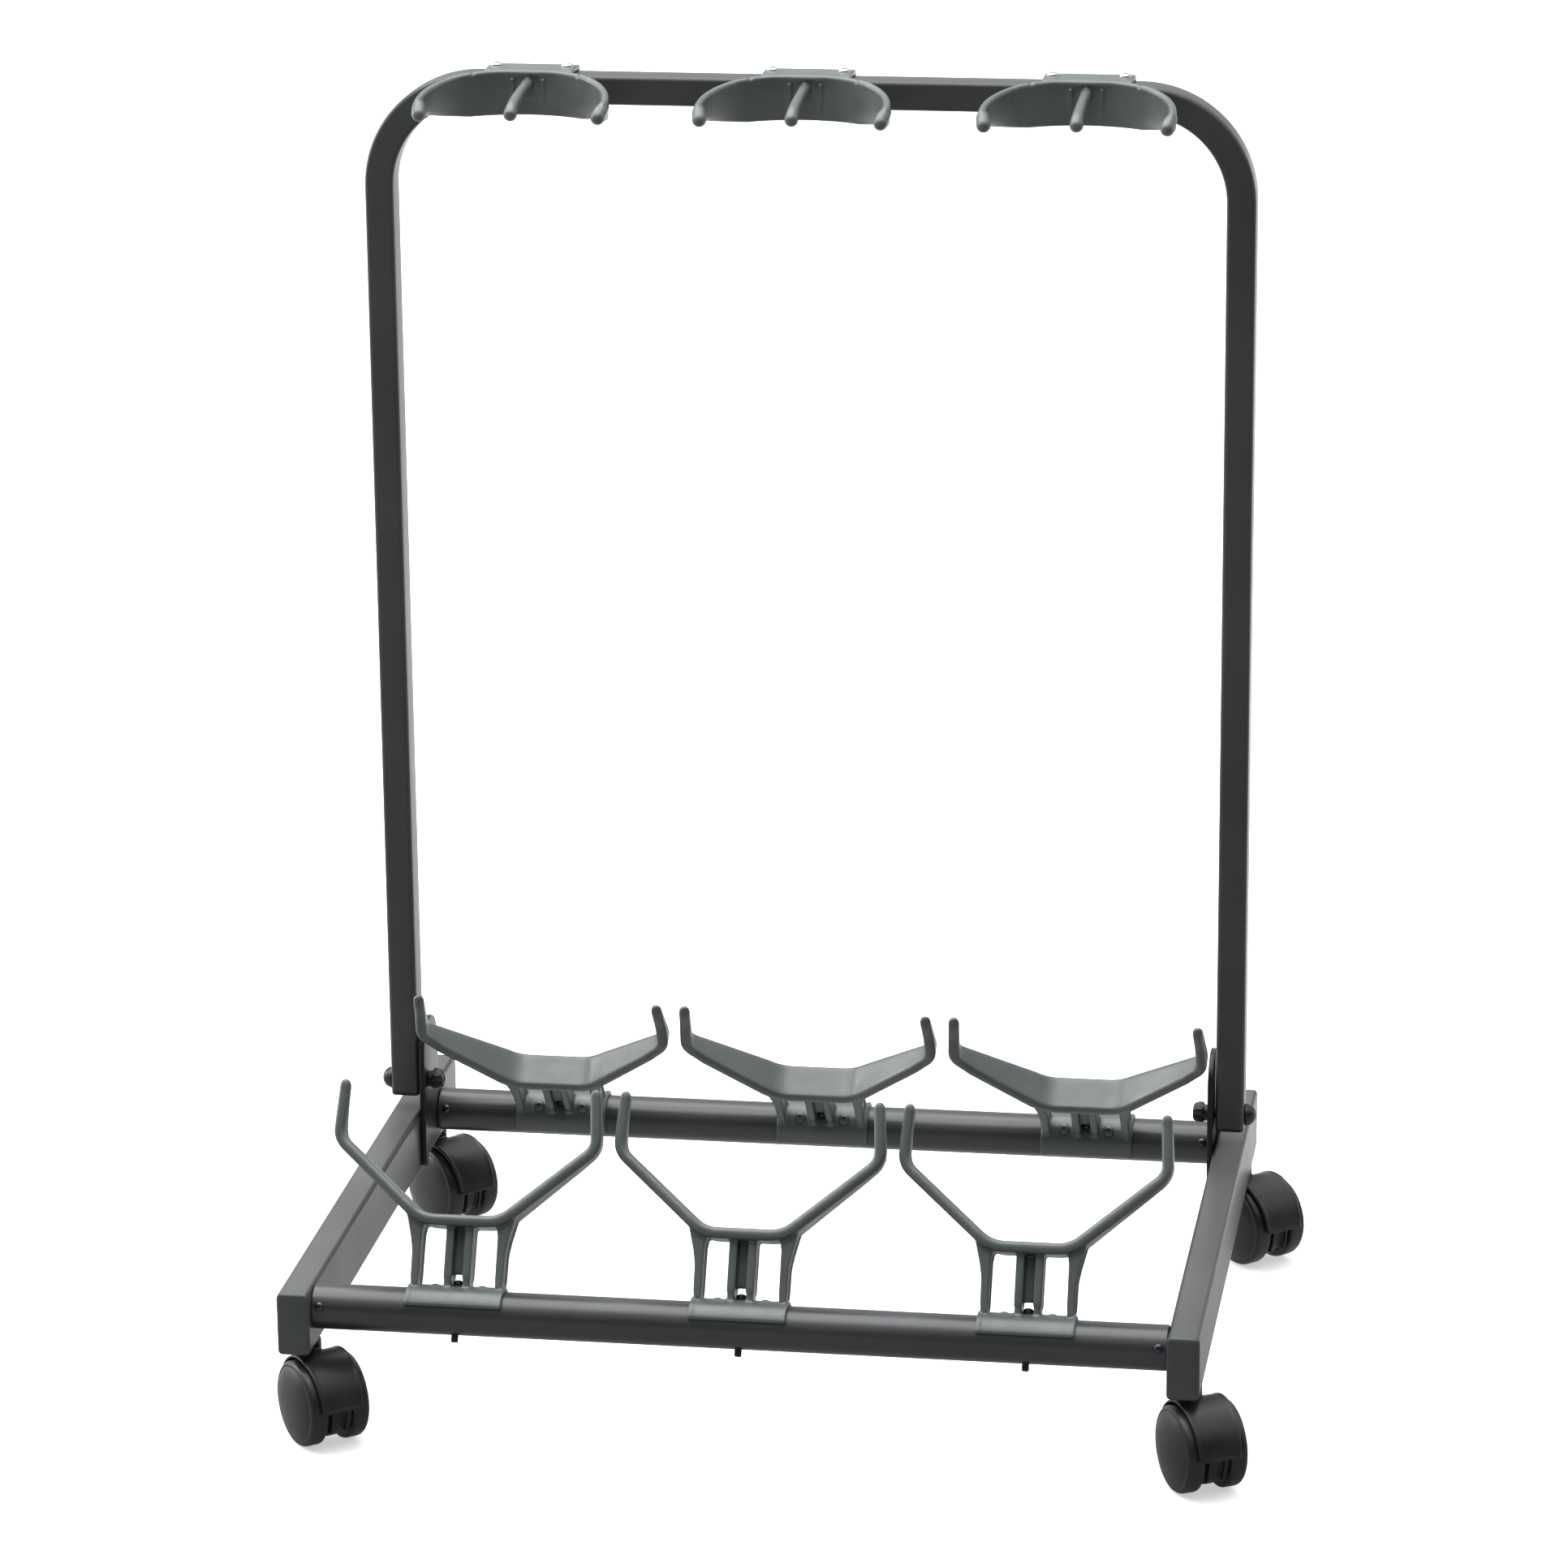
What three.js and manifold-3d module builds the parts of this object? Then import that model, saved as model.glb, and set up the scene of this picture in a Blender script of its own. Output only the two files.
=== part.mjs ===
// Rolling guitar rack: two rectangular floor rails joined by two round cross
// tubes, a folding U-shaped upright, six padded-strap body cradles, three
// two-slot neck holders and four twin-wheel swivel casters.
// Units: millimetres. +Z up, -Y towards the front, X across the rack.
// The finished group is centred in X and Y and stands on z = 0.
import * as THREE from 'three';
import { mergeVertices } from 'three/addons/utils/BufferGeometryUtils.js';
import Module from 'manifold-3d';

const wasm = await Module();
wasm.setup();

// ---------------------------------------------------------------- dimensions
const GAP = 0.3;          // clearance between parts that rest on each other
const PLUG_LAP = 0.4;     // how far a plug reaches into its own flange

const SIDES = [['left', -1], ['right', 1]];
const SEATS = [['left', -162], ['middle', 1], ['right', 164]];   // name, x

const RACK_WIDTH = 525;   // outside, across both rails
const rail = {
  width: 18.5, height: 37, wall: 1.5, corner: 2.6,
  length: 411,            // end caps included
  bottom: 57,             // underside above the floor
  capFlange: 1.6,
  capReach: 13,           // end cap, flange face to plug end
};
rail.x = RACK_WIDTH / 2 - rail.width / 2;
rail.z = rail.bottom + rail.height / 2;
rail.innerFace = RACK_WIDTH / 2 - rail.width;

const tube = { radius: 13, wall: 1.5, z: rail.bottom + 23.9 };   // cross tubes

const upright = {
  width: 524,             // outside
  sizeX: 17.2, sizeY: 19.9, wall: 1.4, corner: 2.8,   // section of its tube
  y: 315.1,               // centre plane
  top: 739,
  foot: 103.9,            // underside of the foot plugs
  bendRadius: 68,         // outside
  plugFlange: 2.4,
};
upright.legX = upright.width / 2 - upright.sizeX / 2;

const pivot = { z: 112.5, radius: 3 };   // fold axis, along X
const PLATE_THICKNESS = 3.5;             // hinge plate
const plateOuter = rail.innerFace - GAP; // distances from the mid plane
const plateInner = plateOuter - PLATE_THICKNESS;
const KNOB_LENGTH = 9.2;

// cross tube ends and the cradles' lean; positive leans towards the rear
const ROWS = [
  { end: 'front', y: 18.4, tilt: 27.3, halfLength: rail.innerFace - GAP, turn: 0 },
  { end: 'rear', y: 348.5, tilt: -41, halfLength: plateInner - GAP, turn: Math.PI },
];

const CRADLE_BOLT_RADIUS = 2.25;
const cradleBore = CRADLE_BOLT_RADIUS + 0.45;
const SADDLE_THICKNESS = 1.7;

const holderScrew = { x: 21, holeRadius: 2 };   // x either side of a seat

const wheel = { radius: 25, width: 12, innerFace: 7.7 };   // face from mid plane
const axle = { radius: 2.5, z: wheel.radius };
const TRAIL = 20.2;                      // axle offset from the swivel axis
const STEM_Y = { front: 32, rear: 382.5 };

// ------------------------------------------------------------------ materials
const material = (settings) => new THREE.MeshStandardMaterial(settings);
const materials = {
  rail: material({ color: 0x6d6e6e, roughness: 0.4, metalness: 0.55 }),
  tube: material({ color: 0x36393b, roughness: 0.32, metalness: 0.5 }),
  upright: material({ color: 0x303132, roughness: 0.4, metalness: 0.4 }),
  plate: material({ color: 0x2a2b2c, roughness: 0.45, metalness: 0.5 }),
  grey: material({ color: 0x6f7473, roughness: 0.55, metalness: 0 }),
  cap: material({ color: 0x474949, roughness: 0.55, metalness: 0 }),
  black: material({ color: 0x1f1f20, roughness: 0.5, metalness: 0 }),
  wheel: material({ color: 0x2a2b2c, roughness: 0.5, metalness: 0 }),
  steel: material({ color: 0xb9bcbd, roughness: 0.3, metalness: 0.9 }),
};

// ------------------------------------------------------------ solid operations
const toSolid = (geometry) => {
  const bare = geometry.clone();
  bare.deleteAttribute('normal');
  bare.deleteAttribute('uv');
  const welded = mergeVertices(bare, 1e-4);
  return new wasm.Manifold(new wasm.Mesh({
    numProp: 3,
    vertProperties: new Float32Array(welded.attributes.position.array),
    triVerts: new Uint32Array(welded.index.array),
  }));
};
const toGeometry = (manifold) => {
  const mesh = manifold.getMesh();
  const geometry = new THREE.BufferGeometry();
  const positions = new Float32Array(mesh.vertProperties);
  geometry.setAttribute('position', new THREE.BufferAttribute(positions, 3));
  geometry.setIndex(new THREE.BufferAttribute(new Uint32Array(mesh.triVerts), 1));
  return geometry;
};
const combine = (method) => (first, ...others) => toGeometry(
  others.reduce((result, other) => result[method](toSolid(other)), toSolid(first)));
const cut = combine('subtract');
const join = combine('add');
const keep = combine('intersect');

// ------------------------------------------------- outlines: lists of [x, y]
const rad = THREE.MathUtils.degToRad;
const arc = (radius, from, to, steps, x = 0, y = 0) =>
  Array.from({ length: steps + 1 }, (_, i) => {
    const angle = rad(from + (to - from) * i / steps);
    return [x + radius * Math.cos(angle), y + radius * Math.sin(angle)];
  });
const circle = (radius, sides) => arc(radius, 0, 360, sides).slice(0, -1);
const arcBand = (inner, outer, from, to, steps, y = 0) => [
  ...arc(outer, from, to, steps, 0, y),
  ...arc(inner, to, from, steps, 0, y),
];
const roundRect = (width, height, corner) => {
  const x = width / 2 - corner;
  const y = height / 2 - corner;
  return [[x, y, 0], [-x, y, 90], [-x, -y, 180], [x, -y, 270]]
    .flatMap(([cx, cy, start]) => arc(corner, start, start + 90, 2, cx, cy));
};
const mirrored = (points) => points.map(([x, y]) => [-x, y]).reverse();

// ------------------------------------------------------------ basic geometries
const toVectors = (points) => points.map(([x, y]) => new THREE.Vector2(x, y));
const toShape = (outline, hole) => {
  const shape = new THREE.Shape(toVectors(outline));
  if (hole) shape.holes.push(new THREE.Path(toVectors(hole).reverse()));
  return shape;
};
const prism = (outline, depth, hole) =>
  new THREE.ExtrudeGeometry(toShape(outline, hole), { depth, bevelEnabled: false });
// outline (x, y)
const alongZ = (outline, start, end) => prism(outline, end - start).translate(0, 0, start);
// outline (x, z)
const alongY = (outline, start, end, hole) =>
  prism(outline, end - start, hole).rotateX(Math.PI / 2).translate(0, end, 0);
// outline (y, z)
const alongX = (outline, start, end, hole) => prism(outline, end - start, hole)
  .rotateX(Math.PI / 2).rotateZ(Math.PI / 2).translate(start, 0, 0);
const cylZ = (radius, start, end, sides) =>
  new THREE.CylinderGeometry(radius, radius, end - start, sides)
    .rotateX(Math.PI / 2).translate(0, 0, (start + end) / 2);
const cylX = (radius, start, end, sides) =>
  new THREE.CylinderGeometry(radius, radius, end - start, sides)
    .rotateZ(-Math.PI / 2).translate((start + end) / 2, 0, 0);
// solid of revolution about Z; the profile is [radius, z] from axis to axis
const lathe = (profile, sides) =>
  new THREE.LatheGeometry(toVectors(profile), sides).rotateX(Math.PI / 2);

const model = new THREE.Group();
model.name = 'guitar_rack';
const add = (name, geometry, surface, parent = model) => {
  const mesh = new THREE.Mesh(geometry, surface);
  mesh.name = name;
  parent.add(mesh);
  return mesh;
};
const addGroup = (parent) => {
  const group = new THREE.Group();
  parent.add(group);
  return group;
};

// ---------------------------------------------------------------- floor rails
const railOutline = roundRect(rail.width, rail.height, rail.corner);

const railGeometry = (x) => {
  const inset = rail.capFlange + GAP;
  const bore = roundRect(
    rail.width - 2 * rail.wall, rail.height - 2 * rail.wall, rail.corner - 1.2);
  const bar = alongY(railOutline, inset, rail.length - inset, bore).translate(x, 0, rail.z);
  // holes for the caster stems in the underside
  const stemHoles = [STEM_Y.front, STEM_Y.rear].map((y) =>
    cylZ(4.4, rail.bottom - 2, rail.bottom + 6, 16).translate(x, y, 0));
  return cut(bar, ...stemHoles);
};

// push-in cap, a flange over the tube end and a plug inside; faces the front
const railCapGeometry = () => {
  const inset = 2 * rail.wall + 2 * GAP;
  const plug = roundRect(rail.width - inset, rail.height - inset, 1.4);
  return join(
    alongY(railOutline, 0, rail.capFlange),
    alongY(plug, rail.capFlange - PLUG_LAP, rail.capReach));
};

for (const [side, sign] of SIDES) {
  const x = sign * rail.x;
  add(`rail_${side}`, railGeometry(x), materials.rail);
  for (const [end, y, turn] of [['front', 0, 0], ['rear', rail.length, Math.PI]]) {
    const cap = railCapGeometry().rotateZ(turn).translate(x, y, rail.z);
    add(`rail_cap_${end}_${side}`, cap, materials.cap);
  }
}

// ---------------------------------------------------------------- cross tubes
const crossTubeGeometry = ({ halfLength, tilt }) => {
  const reach = tube.radius + 2;
  const boltHoles = SEATS.map(([, x]) =>
    cylZ(cradleBore, -reach, reach, 8).rotateX(-rad(tilt)).translate(x, 0, 0));
  const bore = circle(tube.radius - tube.wall, 24);
  return cut(alongX(circle(tube.radius, 24), -halfLength, halfLength, bore), ...boltHoles);
};
for (const row of ROWS) {
  const geometry = crossTubeGeometry(row).translate(0, row.y, tube.z);
  add(`${row.end}_cross_tube`, geometry, materials.tube);
}

// -------------------------------------------------------------- body cradles
// Local frame: x along the tube, y across the strap (+y is its low, inner
// edge), z from the tube axis out to the strap.
const strap = {
  height: 54.8,           // upper face above the tube axis
  thickness: 6.7,
  halfWidth: 11.6, endHalfWidth: 7.2,
  bendX: 21.7,            // where the level middle turns up into an arm
  armX: 70.8, armRise: 42.9, tipRise: 71.5,   // rises above the middle
};
strap.armZ = strap.height + strap.armRise;
strap.tipZ = strap.height + strap.tipRise;

// arc of the given radius that rounds a corner between two straight runs
const fillet = (before, corner, after, radius, steps) => {
  const [start, middle, end] = toVectors([before, corner, after]);
  const back = start.sub(middle).normalize();
  const ahead = end.sub(middle).normalize();
  const half = back.angleTo(ahead) / 2;
  const setback = radius / Math.tan(half);
  const centre = back.clone().add(ahead).normalize()
    .multiplyScalar(radius / Math.sin(half)).add(middle);
  const angleOf = (direction) => {
    const spoke = middle.clone().addScaledVector(direction, setback).sub(centre);
    return THREE.MathUtils.radToDeg(Math.atan2(spoke.y, spoke.x));
  };
  const from = angleOf(back);
  const turn = angleOf(ahead) - from;
  const sweep = turn - 360 * Math.round(turn / 360);   // the short way round
  return arc(radius, from, from + sweep, steps, centre.x, centre.y);
};

// closed side view (x, z) of the whole strap
const strapOutline = () => {
  const centre = [0, strap.height];
  const bend = [strap.bendX, strap.height];
  const elbow = [strap.armX + 0.6, strap.armZ];
  const end = [strap.armX - 1.2, strap.tipZ];
  const line = [
    centre,
    ...fillet(centre, bend, elbow, 18, 3),
    ...fillet(bend, elbow, end, 7, 3),
    end,
  ];
  const upper = line.slice(1);
  const lower = upper.map(([x, z], i) => {
    const before = line[i];
    const after = line[Math.min(i + 2, line.length - 1)];
    const runX = after[0] - before[0];
    const runZ = after[1] - before[1];
    const scale = strap.thickness / Math.hypot(runX, runZ);
    return [x + runZ * scale, z - runX * scale];
  });
  const lowerEnd = lower[lower.length - 1];
  const tip = arc(strap.thickness / 2, 120, 60, 2,
    (end[0] + lowerEnd[0]) / 2, (end[1] + lowerEnd[1]) / 2);
  const right = [...upper, ...tip, ...lower.reverse()];
  return [...right, ...mirrored(right)];
};

const strapGeometry = () => {
  const middle = strap.halfWidth;
  const end = strap.endHalfWidth;
  // right half of the plan taper (x, y)
  const plan = [[28, -middle], [70, -end], [84, -end], [84, end], [70, end], [28, middle]];
  // end view (y, z), narrowing to the pointed tips
  const point = strap.tipZ + 3.4;
  const endView = [
    [-15, 0], [15, 0], [15, strap.height + 26],
    [end + 0.2, strap.armZ - 6], [4.6, strap.armZ + 4], [-0.2, strap.armZ + 18],
    [-1.4, point - 3], [-4.4, point], [-7.4, point - 4],
    [-7.4, strap.armZ], [-15, strap.height + 26],
  ];
  return keep(
    alongY(strapOutline(), -16, 16),
    alongZ([...plan, ...mirrored(plan)], 0, 200),
    alongX(endView, -90, 90));
};

// four ribs and a thin centre web, from the strap down to the saddle
const cradleRibs = () => {
  const under = strap.height - strap.thickness + 2;
  const base = 14.2;
  // right-hand ribs (x, z)
  const outer = [
    [22.2, base], [26.6, base], [26.8, 34], [28.4, 42],
    [31.4, under + 5.2], [24, under + 0.5], [21.4, under], [22.2, 36],
  ];
  const inner = [[3.4, base], [7.4, base], [7.4, under], [3.4, under]];
  const web = [[-1.2, 22], [1.2, 22], [1.2, under], [-1.2, under]];   // (y, z)
  return [
    alongY(outer, -7.5, 7.5), alongY(mirrored(outer), -7.5, 7.5),
    alongY(inner, -7, 7), alongY(mirrored(inner), -7, 7),
    alongX(web, -5, 5),
  ];
};

// half-pipe over the tube
const saddleGeometry = () => {
  const length = 56;
  const halfArc = 84;     // degrees either side of the top
  const seat = tube.radius + GAP;
  const band = arcBand(
    seat + 0.1, seat + SADDLE_THICKNESS, 90 - halfArc, 90 + halfArc, 12);
  return alongX(band, -length / 2, length / 2);
};

const cradleGeometry = () => cut(
  join(strapGeometry(), ...cradleRibs(), saddleGeometry()),
  cylZ(cradleBore, 8, 26, 8));

const cradleBoltGeometry = () => {
  const radius = CRADLE_BOLT_RADIUS;
  const headRadius = 2.95;
  const saddleTop = tube.radius + SADDLE_THICKNESS;
  return lathe([
    [0, -(tube.radius + 4.2)], [1.5, -(tube.radius + 4.2)],
    [radius, -(tube.radius + 3.4)], [radius, saddleTop + 2 * GAP],
    [headRadius, saddleTop + 2 * GAP], [headRadius, saddleTop + 2.4],
    [1.8, saddleTop + 3.4], [0, saddleTop + 3.6],
  ], 8);
};

for (const { end, y, tilt, turn } of ROWS)
  for (const [seat, x] of SEATS) {
    const pose = addGroup(model);
    pose.position.set(x, y, tube.z);
    pose.rotation.x = -rad(tilt);
    const turned = addGroup(pose);
    turned.rotation.z = turn;
    add(`cradle_${end}_${seat}`, cradleGeometry(), materials.grey, turned);
    add(`cradle_bolt_${end}_${seat}`, cradleBoltGeometry(), materials.steel, turned);
  }

// ------------------------------------------------------------ folding upright
// a path given by its own stations, so straight runs need no extra sections
class StationCurve extends THREE.Curve {
  constructor(points, tangents) {
    super();
    this.points = points;
    this.tangents = tangents;
  }
  station(list, u) {
    return list[Math.round(u * (list.length - 1))].clone();
  }
  getPointAt(u) {
    return this.station(this.points, u);
  }
  getTangentAt(u) {
    return this.station(this.tangents, u);
  }
}

// up the left leg, over the top and down the right leg
const uprightPath = () => {
  const bendSteps = 7;
  const bend = upright.bendRadius - upright.sizeX / 2;   // of the centre line
  const bendX = upright.legX - bend;
  const bendZ = upright.top - upright.sizeX / 2 - bend;
  const legEnd = upright.foot + upright.plugFlange + GAP;
  const points = [];
  const tangents = [];
  const addStation = (x, z, tangentX, tangentZ) => {
    points.push(new THREE.Vector3(x, upright.y, z));
    tangents.push(new THREE.Vector3(tangentX, 0, tangentZ));
  };
  addStation(-upright.legX, legEnd, 0, 1);
  for (const [, sign] of SIDES)
    for (let i = 0; i <= bendSteps; i++) {
      const angle = rad(90 * (sign < 0 ? i : bendSteps - i) / bendSteps);
      const across = Math.cos(angle);
      const rise = Math.sin(angle);
      addStation(sign * (bendX + bend * across), bendZ + bend * rise, rise, -sign * across);
    }
  addStation(upright.legX, legEnd, 0, -1);
  return new StationCurve(points, tangents);
};

const uprightGeometry = () => {
  const { sizeX, sizeY, wall, corner, y, top, legX } = upright;
  const path = uprightPath();
  // profile x runs along Y here, and profile y runs across the bend
  const profile = toShape(
    roundRect(sizeY, sizeX, corner),
    roundRect(sizeY - 2 * wall, sizeX - 2 * wall, corner - 1.2));
  const frame = new THREE.ExtrudeGeometry(profile, {
    steps: path.points.length - 1, bevelEnabled: false, extrudePath: path,
  });
  const pivotHoles = SIDES.map(([, sign]) =>
    cylX(pivot.radius + 0.35, -15, 15, 12).translate(sign * legX, y, pivot.z));
  const screwHoles = SEATS.flatMap(([, x]) => SIDES.map(([, sign]) =>
    cylZ(holderScrew.holeRadius, top - 4, top + 4, 8)
      .translate(x + sign * holderScrew.x, y, 0)));
  return cut(frame, ...pivotHoles, ...screwHoles);
};

const footPlugGeometry = () => {
  const { sizeX, sizeY, wall, corner, foot, plugFlange } = upright;
  const inset = 2 * wall + 2 * GAP;
  const flangeTop = foot + plugFlange;
  const plug = roundRect(sizeX - inset, sizeY - inset, 1.2);
  return join(
    alongZ(roundRect(sizeX, sizeY, corner), foot, flangeTop),
    alongZ(plug, flangeTop - PLUG_LAP, pivot.z - pivot.radius - 0.6));
};

add('upright_frame', uprightGeometry(), materials.upright);
for (const [side, sign] of SIDES) {
  const plug = footPlugGeometry().translate(sign * upright.legX, upright.y, 0);
  add(`upright_foot_plug_${side}`, plug, materials.black);
}

// --------------------------------------------------------------------- hinge
// lower edge and rear foot of the plate: [y, z above the rail's underside]
const PLATE_EDGE = [
  [303, 2], [309, 2], [310, 12], [313, 16], [320, 13], [332, 10], [362, 9.5], [366, 12],
  [368, 17], [368, 35], [366, 39], [362, 40], [347, 40], [344, 41.2], [343, 44],
];
// half ellipse that closes the plate at the top
const plateTop = { y: 323, z: 131, halfWidth: 20, rise: 19 };

const hingePlateGeometry = (sign) => {
  const { y, z, halfWidth, rise } = plateTop;
  const outline = [
    ...PLATE_EDGE.map(([edgeY, height]) => [edgeY, rail.bottom + height]),
    ...arc(1, 0, 180, 10).map(([across, up]) => [y + halfWidth * across, z + rise * up]),
  ];
  const middle = sign * (plateOuter + plateInner) / 2;
  const half = PLATE_THICKNESS / 2;
  return cut(
    alongX(outline, middle - half, middle + half),
    cylX(pivot.radius + 0.3, -280, 280, 16).translate(0, upright.y, pivot.z));
};

// low domed head outside, shank through leg and plate; z is from the mid plane
const pivotBoltGeometry = () => {
  const headRadius = 6.7;
  const headHeight = 6.6;
  const head = upright.width / 2 + GAP;
  const tip = plateInner - KNOB_LENGTH + 1.5;
  return lathe([
    [0, tip], [pivot.radius - 0.6, tip], [pivot.radius, tip + 0.8], [pivot.radius, head],
    [headRadius, head], [headRadius, head + 1.8], [headRadius * 0.88, head + 4.1],
    [headRadius * 0.55, head + 5.9], [0, head + headHeight],
  ], 14);
};

// five-lobed clamping knob for the inner end of the bolt, blind bored
const knobGeometry = () => {
  const radius = 6.6;
  const lobeDepth = 0.9;  // either side of the mean radius
  const lobes = circle(1, 30).map(([x, y], i) => {
    const reach = radius - lobeDepth + lobeDepth * Math.cos(5 * rad(360 * i / 30));
    return [reach * x, reach * y];
  });
  return cut(
    join(alongZ(lobes, 2.2, KNOB_LENGTH), cylZ(5.2, 0, 2.6, 20)),
    cylZ(pivot.radius + 0.25, -1, KNOB_LENGTH - 1, 16));
};

for (const [side, sign] of SIDES) {
  add(`hinge_plate_${side}`, hingePlateGeometry(sign), materials.plate);
  const bolt = pivotBoltGeometry().rotateY(sign * Math.PI / 2)
    .translate(0, upright.y, pivot.z);
  add(`pivot_bolt_${side}`, bolt, materials.steel);
  const knob = knobGeometry().rotateY(-sign * Math.PI / 2)
    .translate(sign * (plateInner - GAP), upright.y, pivot.z);
  add(`clamp_knob_${side}`, knob, materials.black);
}

// --------------------------------------------------------------- neck holders
// Local frame: x across, y from the bar's front face (negative is forward),
// z from the top of the bar.
const crescent = { radius: 53.9, thickness: 4.2, bottom: -23.5 };   // mid radius
crescent.y = -crescent.radius - GAP;

const crescentGeometry = () => {
  const { radius, thickness, bottom, y } = crescent;
  const band = arcBand(radius - thickness / 2, radius + thickness / 2, -6, 186, 14, y);
  // side view (y, z): deep at the bar, shallow at the ends
  const sideView = [
    [-GAP, 2.6], [-GAP, bottom], [-12, bottom], [-40, -17.5],
    [y - 8, -15.4], [y - 8, -6.4], [-40, -2.4], [-14, 1.9],
  ];
  return keep(alongZ(band, -40, 20), alongX(sideView, -80, 80));
};

// rod with a rounded end, pointing forward and falling by an angle in degrees
const prongGeometry = (length, rootRadius, fall) => {
  const radius = 4.2;
  return lathe([
    [0, 0], [rootRadius, 0], [radius, length - radius],
    [radius * 0.72, length - radius * 0.3], [0, length],
  ], 10).rotateX(Math.PI / 2 + rad(fall));
};

// clip over the bar
const clipGeometry = () => {
  const back = upright.sizeY;
  const sideView = [       // (y, z)
    [-3.4, -14], [-GAP, -14], [-GAP, GAP], [back + GAP, GAP], [back + GAP, -9],
    [back + 2.9, -9], [back + 2.9, 1.6], [back + 1.2, 3.1], [-2, 3.1], [-3.4, 1.6],
  ];
  return alongX(sideView, -26.5, 26.5);
};

const neckHolderGeometry = () => {
  const middleProng = prongGeometry(58, 3.2, 7).translate(0, -2.6, -3.8);
  const endProngs = SIDES.map(([, sign]) => prongGeometry(14, 3.6, 6)
    .rotateZ(-sign * rad(7))
    .translate(sign * (crescent.radius - 0.2), crescent.y + 2, -9.4));
  const screwHoles = SIDES.map(([, sign]) => cylZ(holderScrew.holeRadius, -2, 6, 8)
    .translate(sign * holderScrew.x, upright.sizeY / 2, 0));
  return cut(
    join(crescentGeometry(), clipGeometry(), middleProng, ...endProngs),
    ...screwHoles);
};

const screwGeometry = () => lathe([
  [0, -9], [0.7, -8.6], [1.6, -6.5], [1.6, 3.4], [3.5, 3.4], [3, 4.7], [0, 5.4],
], 8);

for (const [seat, x] of SEATS) {
  const holder = neckHolderGeometry()
    .translate(x, upright.y - upright.sizeY / 2, upright.top);
  add(`neck_holder_${seat}`, holder, materials.grey);
  for (const [letter, sign] of [['a', -1], ['b', 1]]) {
    const screw = screwGeometry()
      .translate(x + sign * holderScrew.x, upright.y, upright.top);
    add(`neck_holder_screw_${seat}_${letter}`, screw, materials.steel);
  }
}

// -------------------------------------------------------------------- casters
// Local frame: origin on the floor under the axle's centre, x along the axle,
// y towards the swivel axis, z up.
// rib between the wheels: [y, z above the axle]
const HOOD_RIB = [
  [-26.8, 2.6], [-16, -4], [0, 0], [26, 0], [26, 9],
  [20, 19], [10, 25.5], [0, 27], [-10, 25.5], [-20, 19],
];
const hoodGeometry = () => {
  const fender = alongX(arcBand(26.3, 28, 176, -4, 14), -16, 16);
  const web = alongX(circle(22, 24), -4, 4);
  const rib = alongX(HOOD_RIB, -3.4, 3.4);
  for (const part of [fender, web, rib]) part.translate(0, 0, axle.z);
  const boss = cylZ(6.6, 14, 48, 16).translate(0, TRAIL, 0);
  const collar = cylZ(8.6, 46, rail.bottom - 1.2, 16).translate(0, TRAIL, 0);
  const stemBore = cylZ(4.25, 24, 80, 14).translate(0, TRAIL, 0);
  const axleBore = cylX(axle.radius + 0.2, -30, 30, 12).translate(0, 0, axle.z);
  return cut(join(fender, web, rib, boss, collar), stemBore, axleBore);
};

// pin on the swivel axis, from inside the hood up into the rail
const stemGeometry = () => {
  const top = rail.bottom + 18.5;
  return lathe([[0, 25], [3.2, 25], [4, 25.8], [4, top - 1.5], [3, top], [0, top]], 14);
};

const axleGeometry = () => lathe([
  [0, -15.5], [2, -15.5], [axle.radius, -15], [axle.radius, 15], [2, 15.5], [0, 15.5],
], 12).rotateY(Math.PI / 2);

// one wheel, on the +x side; its outer face is a shallow dome
const wheelGeometry = () => {
  const { radius, width, innerFace } = wheel;
  const bore = axle.radius + 0.2;
  const outerFace = innerFace + width;
  return lathe([
    [0, 16.4], [bore, 16.4], [bore, 4.6], [6.5, 4.6], [6.5, innerFace],
    [radius - 1.2, innerFace], [radius, innerFace + 1.4], [radius, innerFace + 9],
    [radius - 1, innerFace + 10.9], [radius - 3.2, outerFace - 0.2],
    [12, outerFace + 0.5], [0, outerFace + 0.9],
  ], 24).rotateY(Math.PI / 2);
};

// name, side, stem y, heading of the axle from +X in degrees
const CASTERS = [
  ['front_left', -1, STEM_Y.front, 38],
  ['front_right', 1, STEM_Y.front, 28.5],
  ['rear_left', -1, STEM_Y.rear, 46.5],
  ['rear_right', 1, STEM_Y.rear, 41.5],
];
for (const [name, sign, y, heading] of CASTERS) {
  const swivel = addGroup(model);
  swivel.position.set(sign * rail.x, y, 0);
  swivel.rotation.z = rad(heading);
  const body = addGroup(swivel);
  body.position.set(0, -TRAIL, 0);
  add(`caster_${name}_stem`, stemGeometry(), materials.steel, swivel);
  add(`caster_${name}_hood`, hoodGeometry(), materials.black, body);
  const pin = add(`caster_${name}_axle`, axleGeometry(), materials.steel, body);
  pin.position.z = axle.z;
  for (const [letter, turn] of [['b', 0], ['a', Math.PI]]) {
    const mesh = add(`caster_${name}_wheel_${letter}`, wheelGeometry(), materials.wheel, body);
    mesh.position.z = axle.z;
    mesh.rotation.z = turn;
  }
}

// origin: centre of the overall box in X and Y, on the floor
model.updateMatrixWorld(true);
const box = new THREE.Box3().setFromObject(model, true);
model.position.set(-(box.min.x + box.max.x) / 2, -(box.min.y + box.max.y) / 2, -box.min.z);

export default model;
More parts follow.
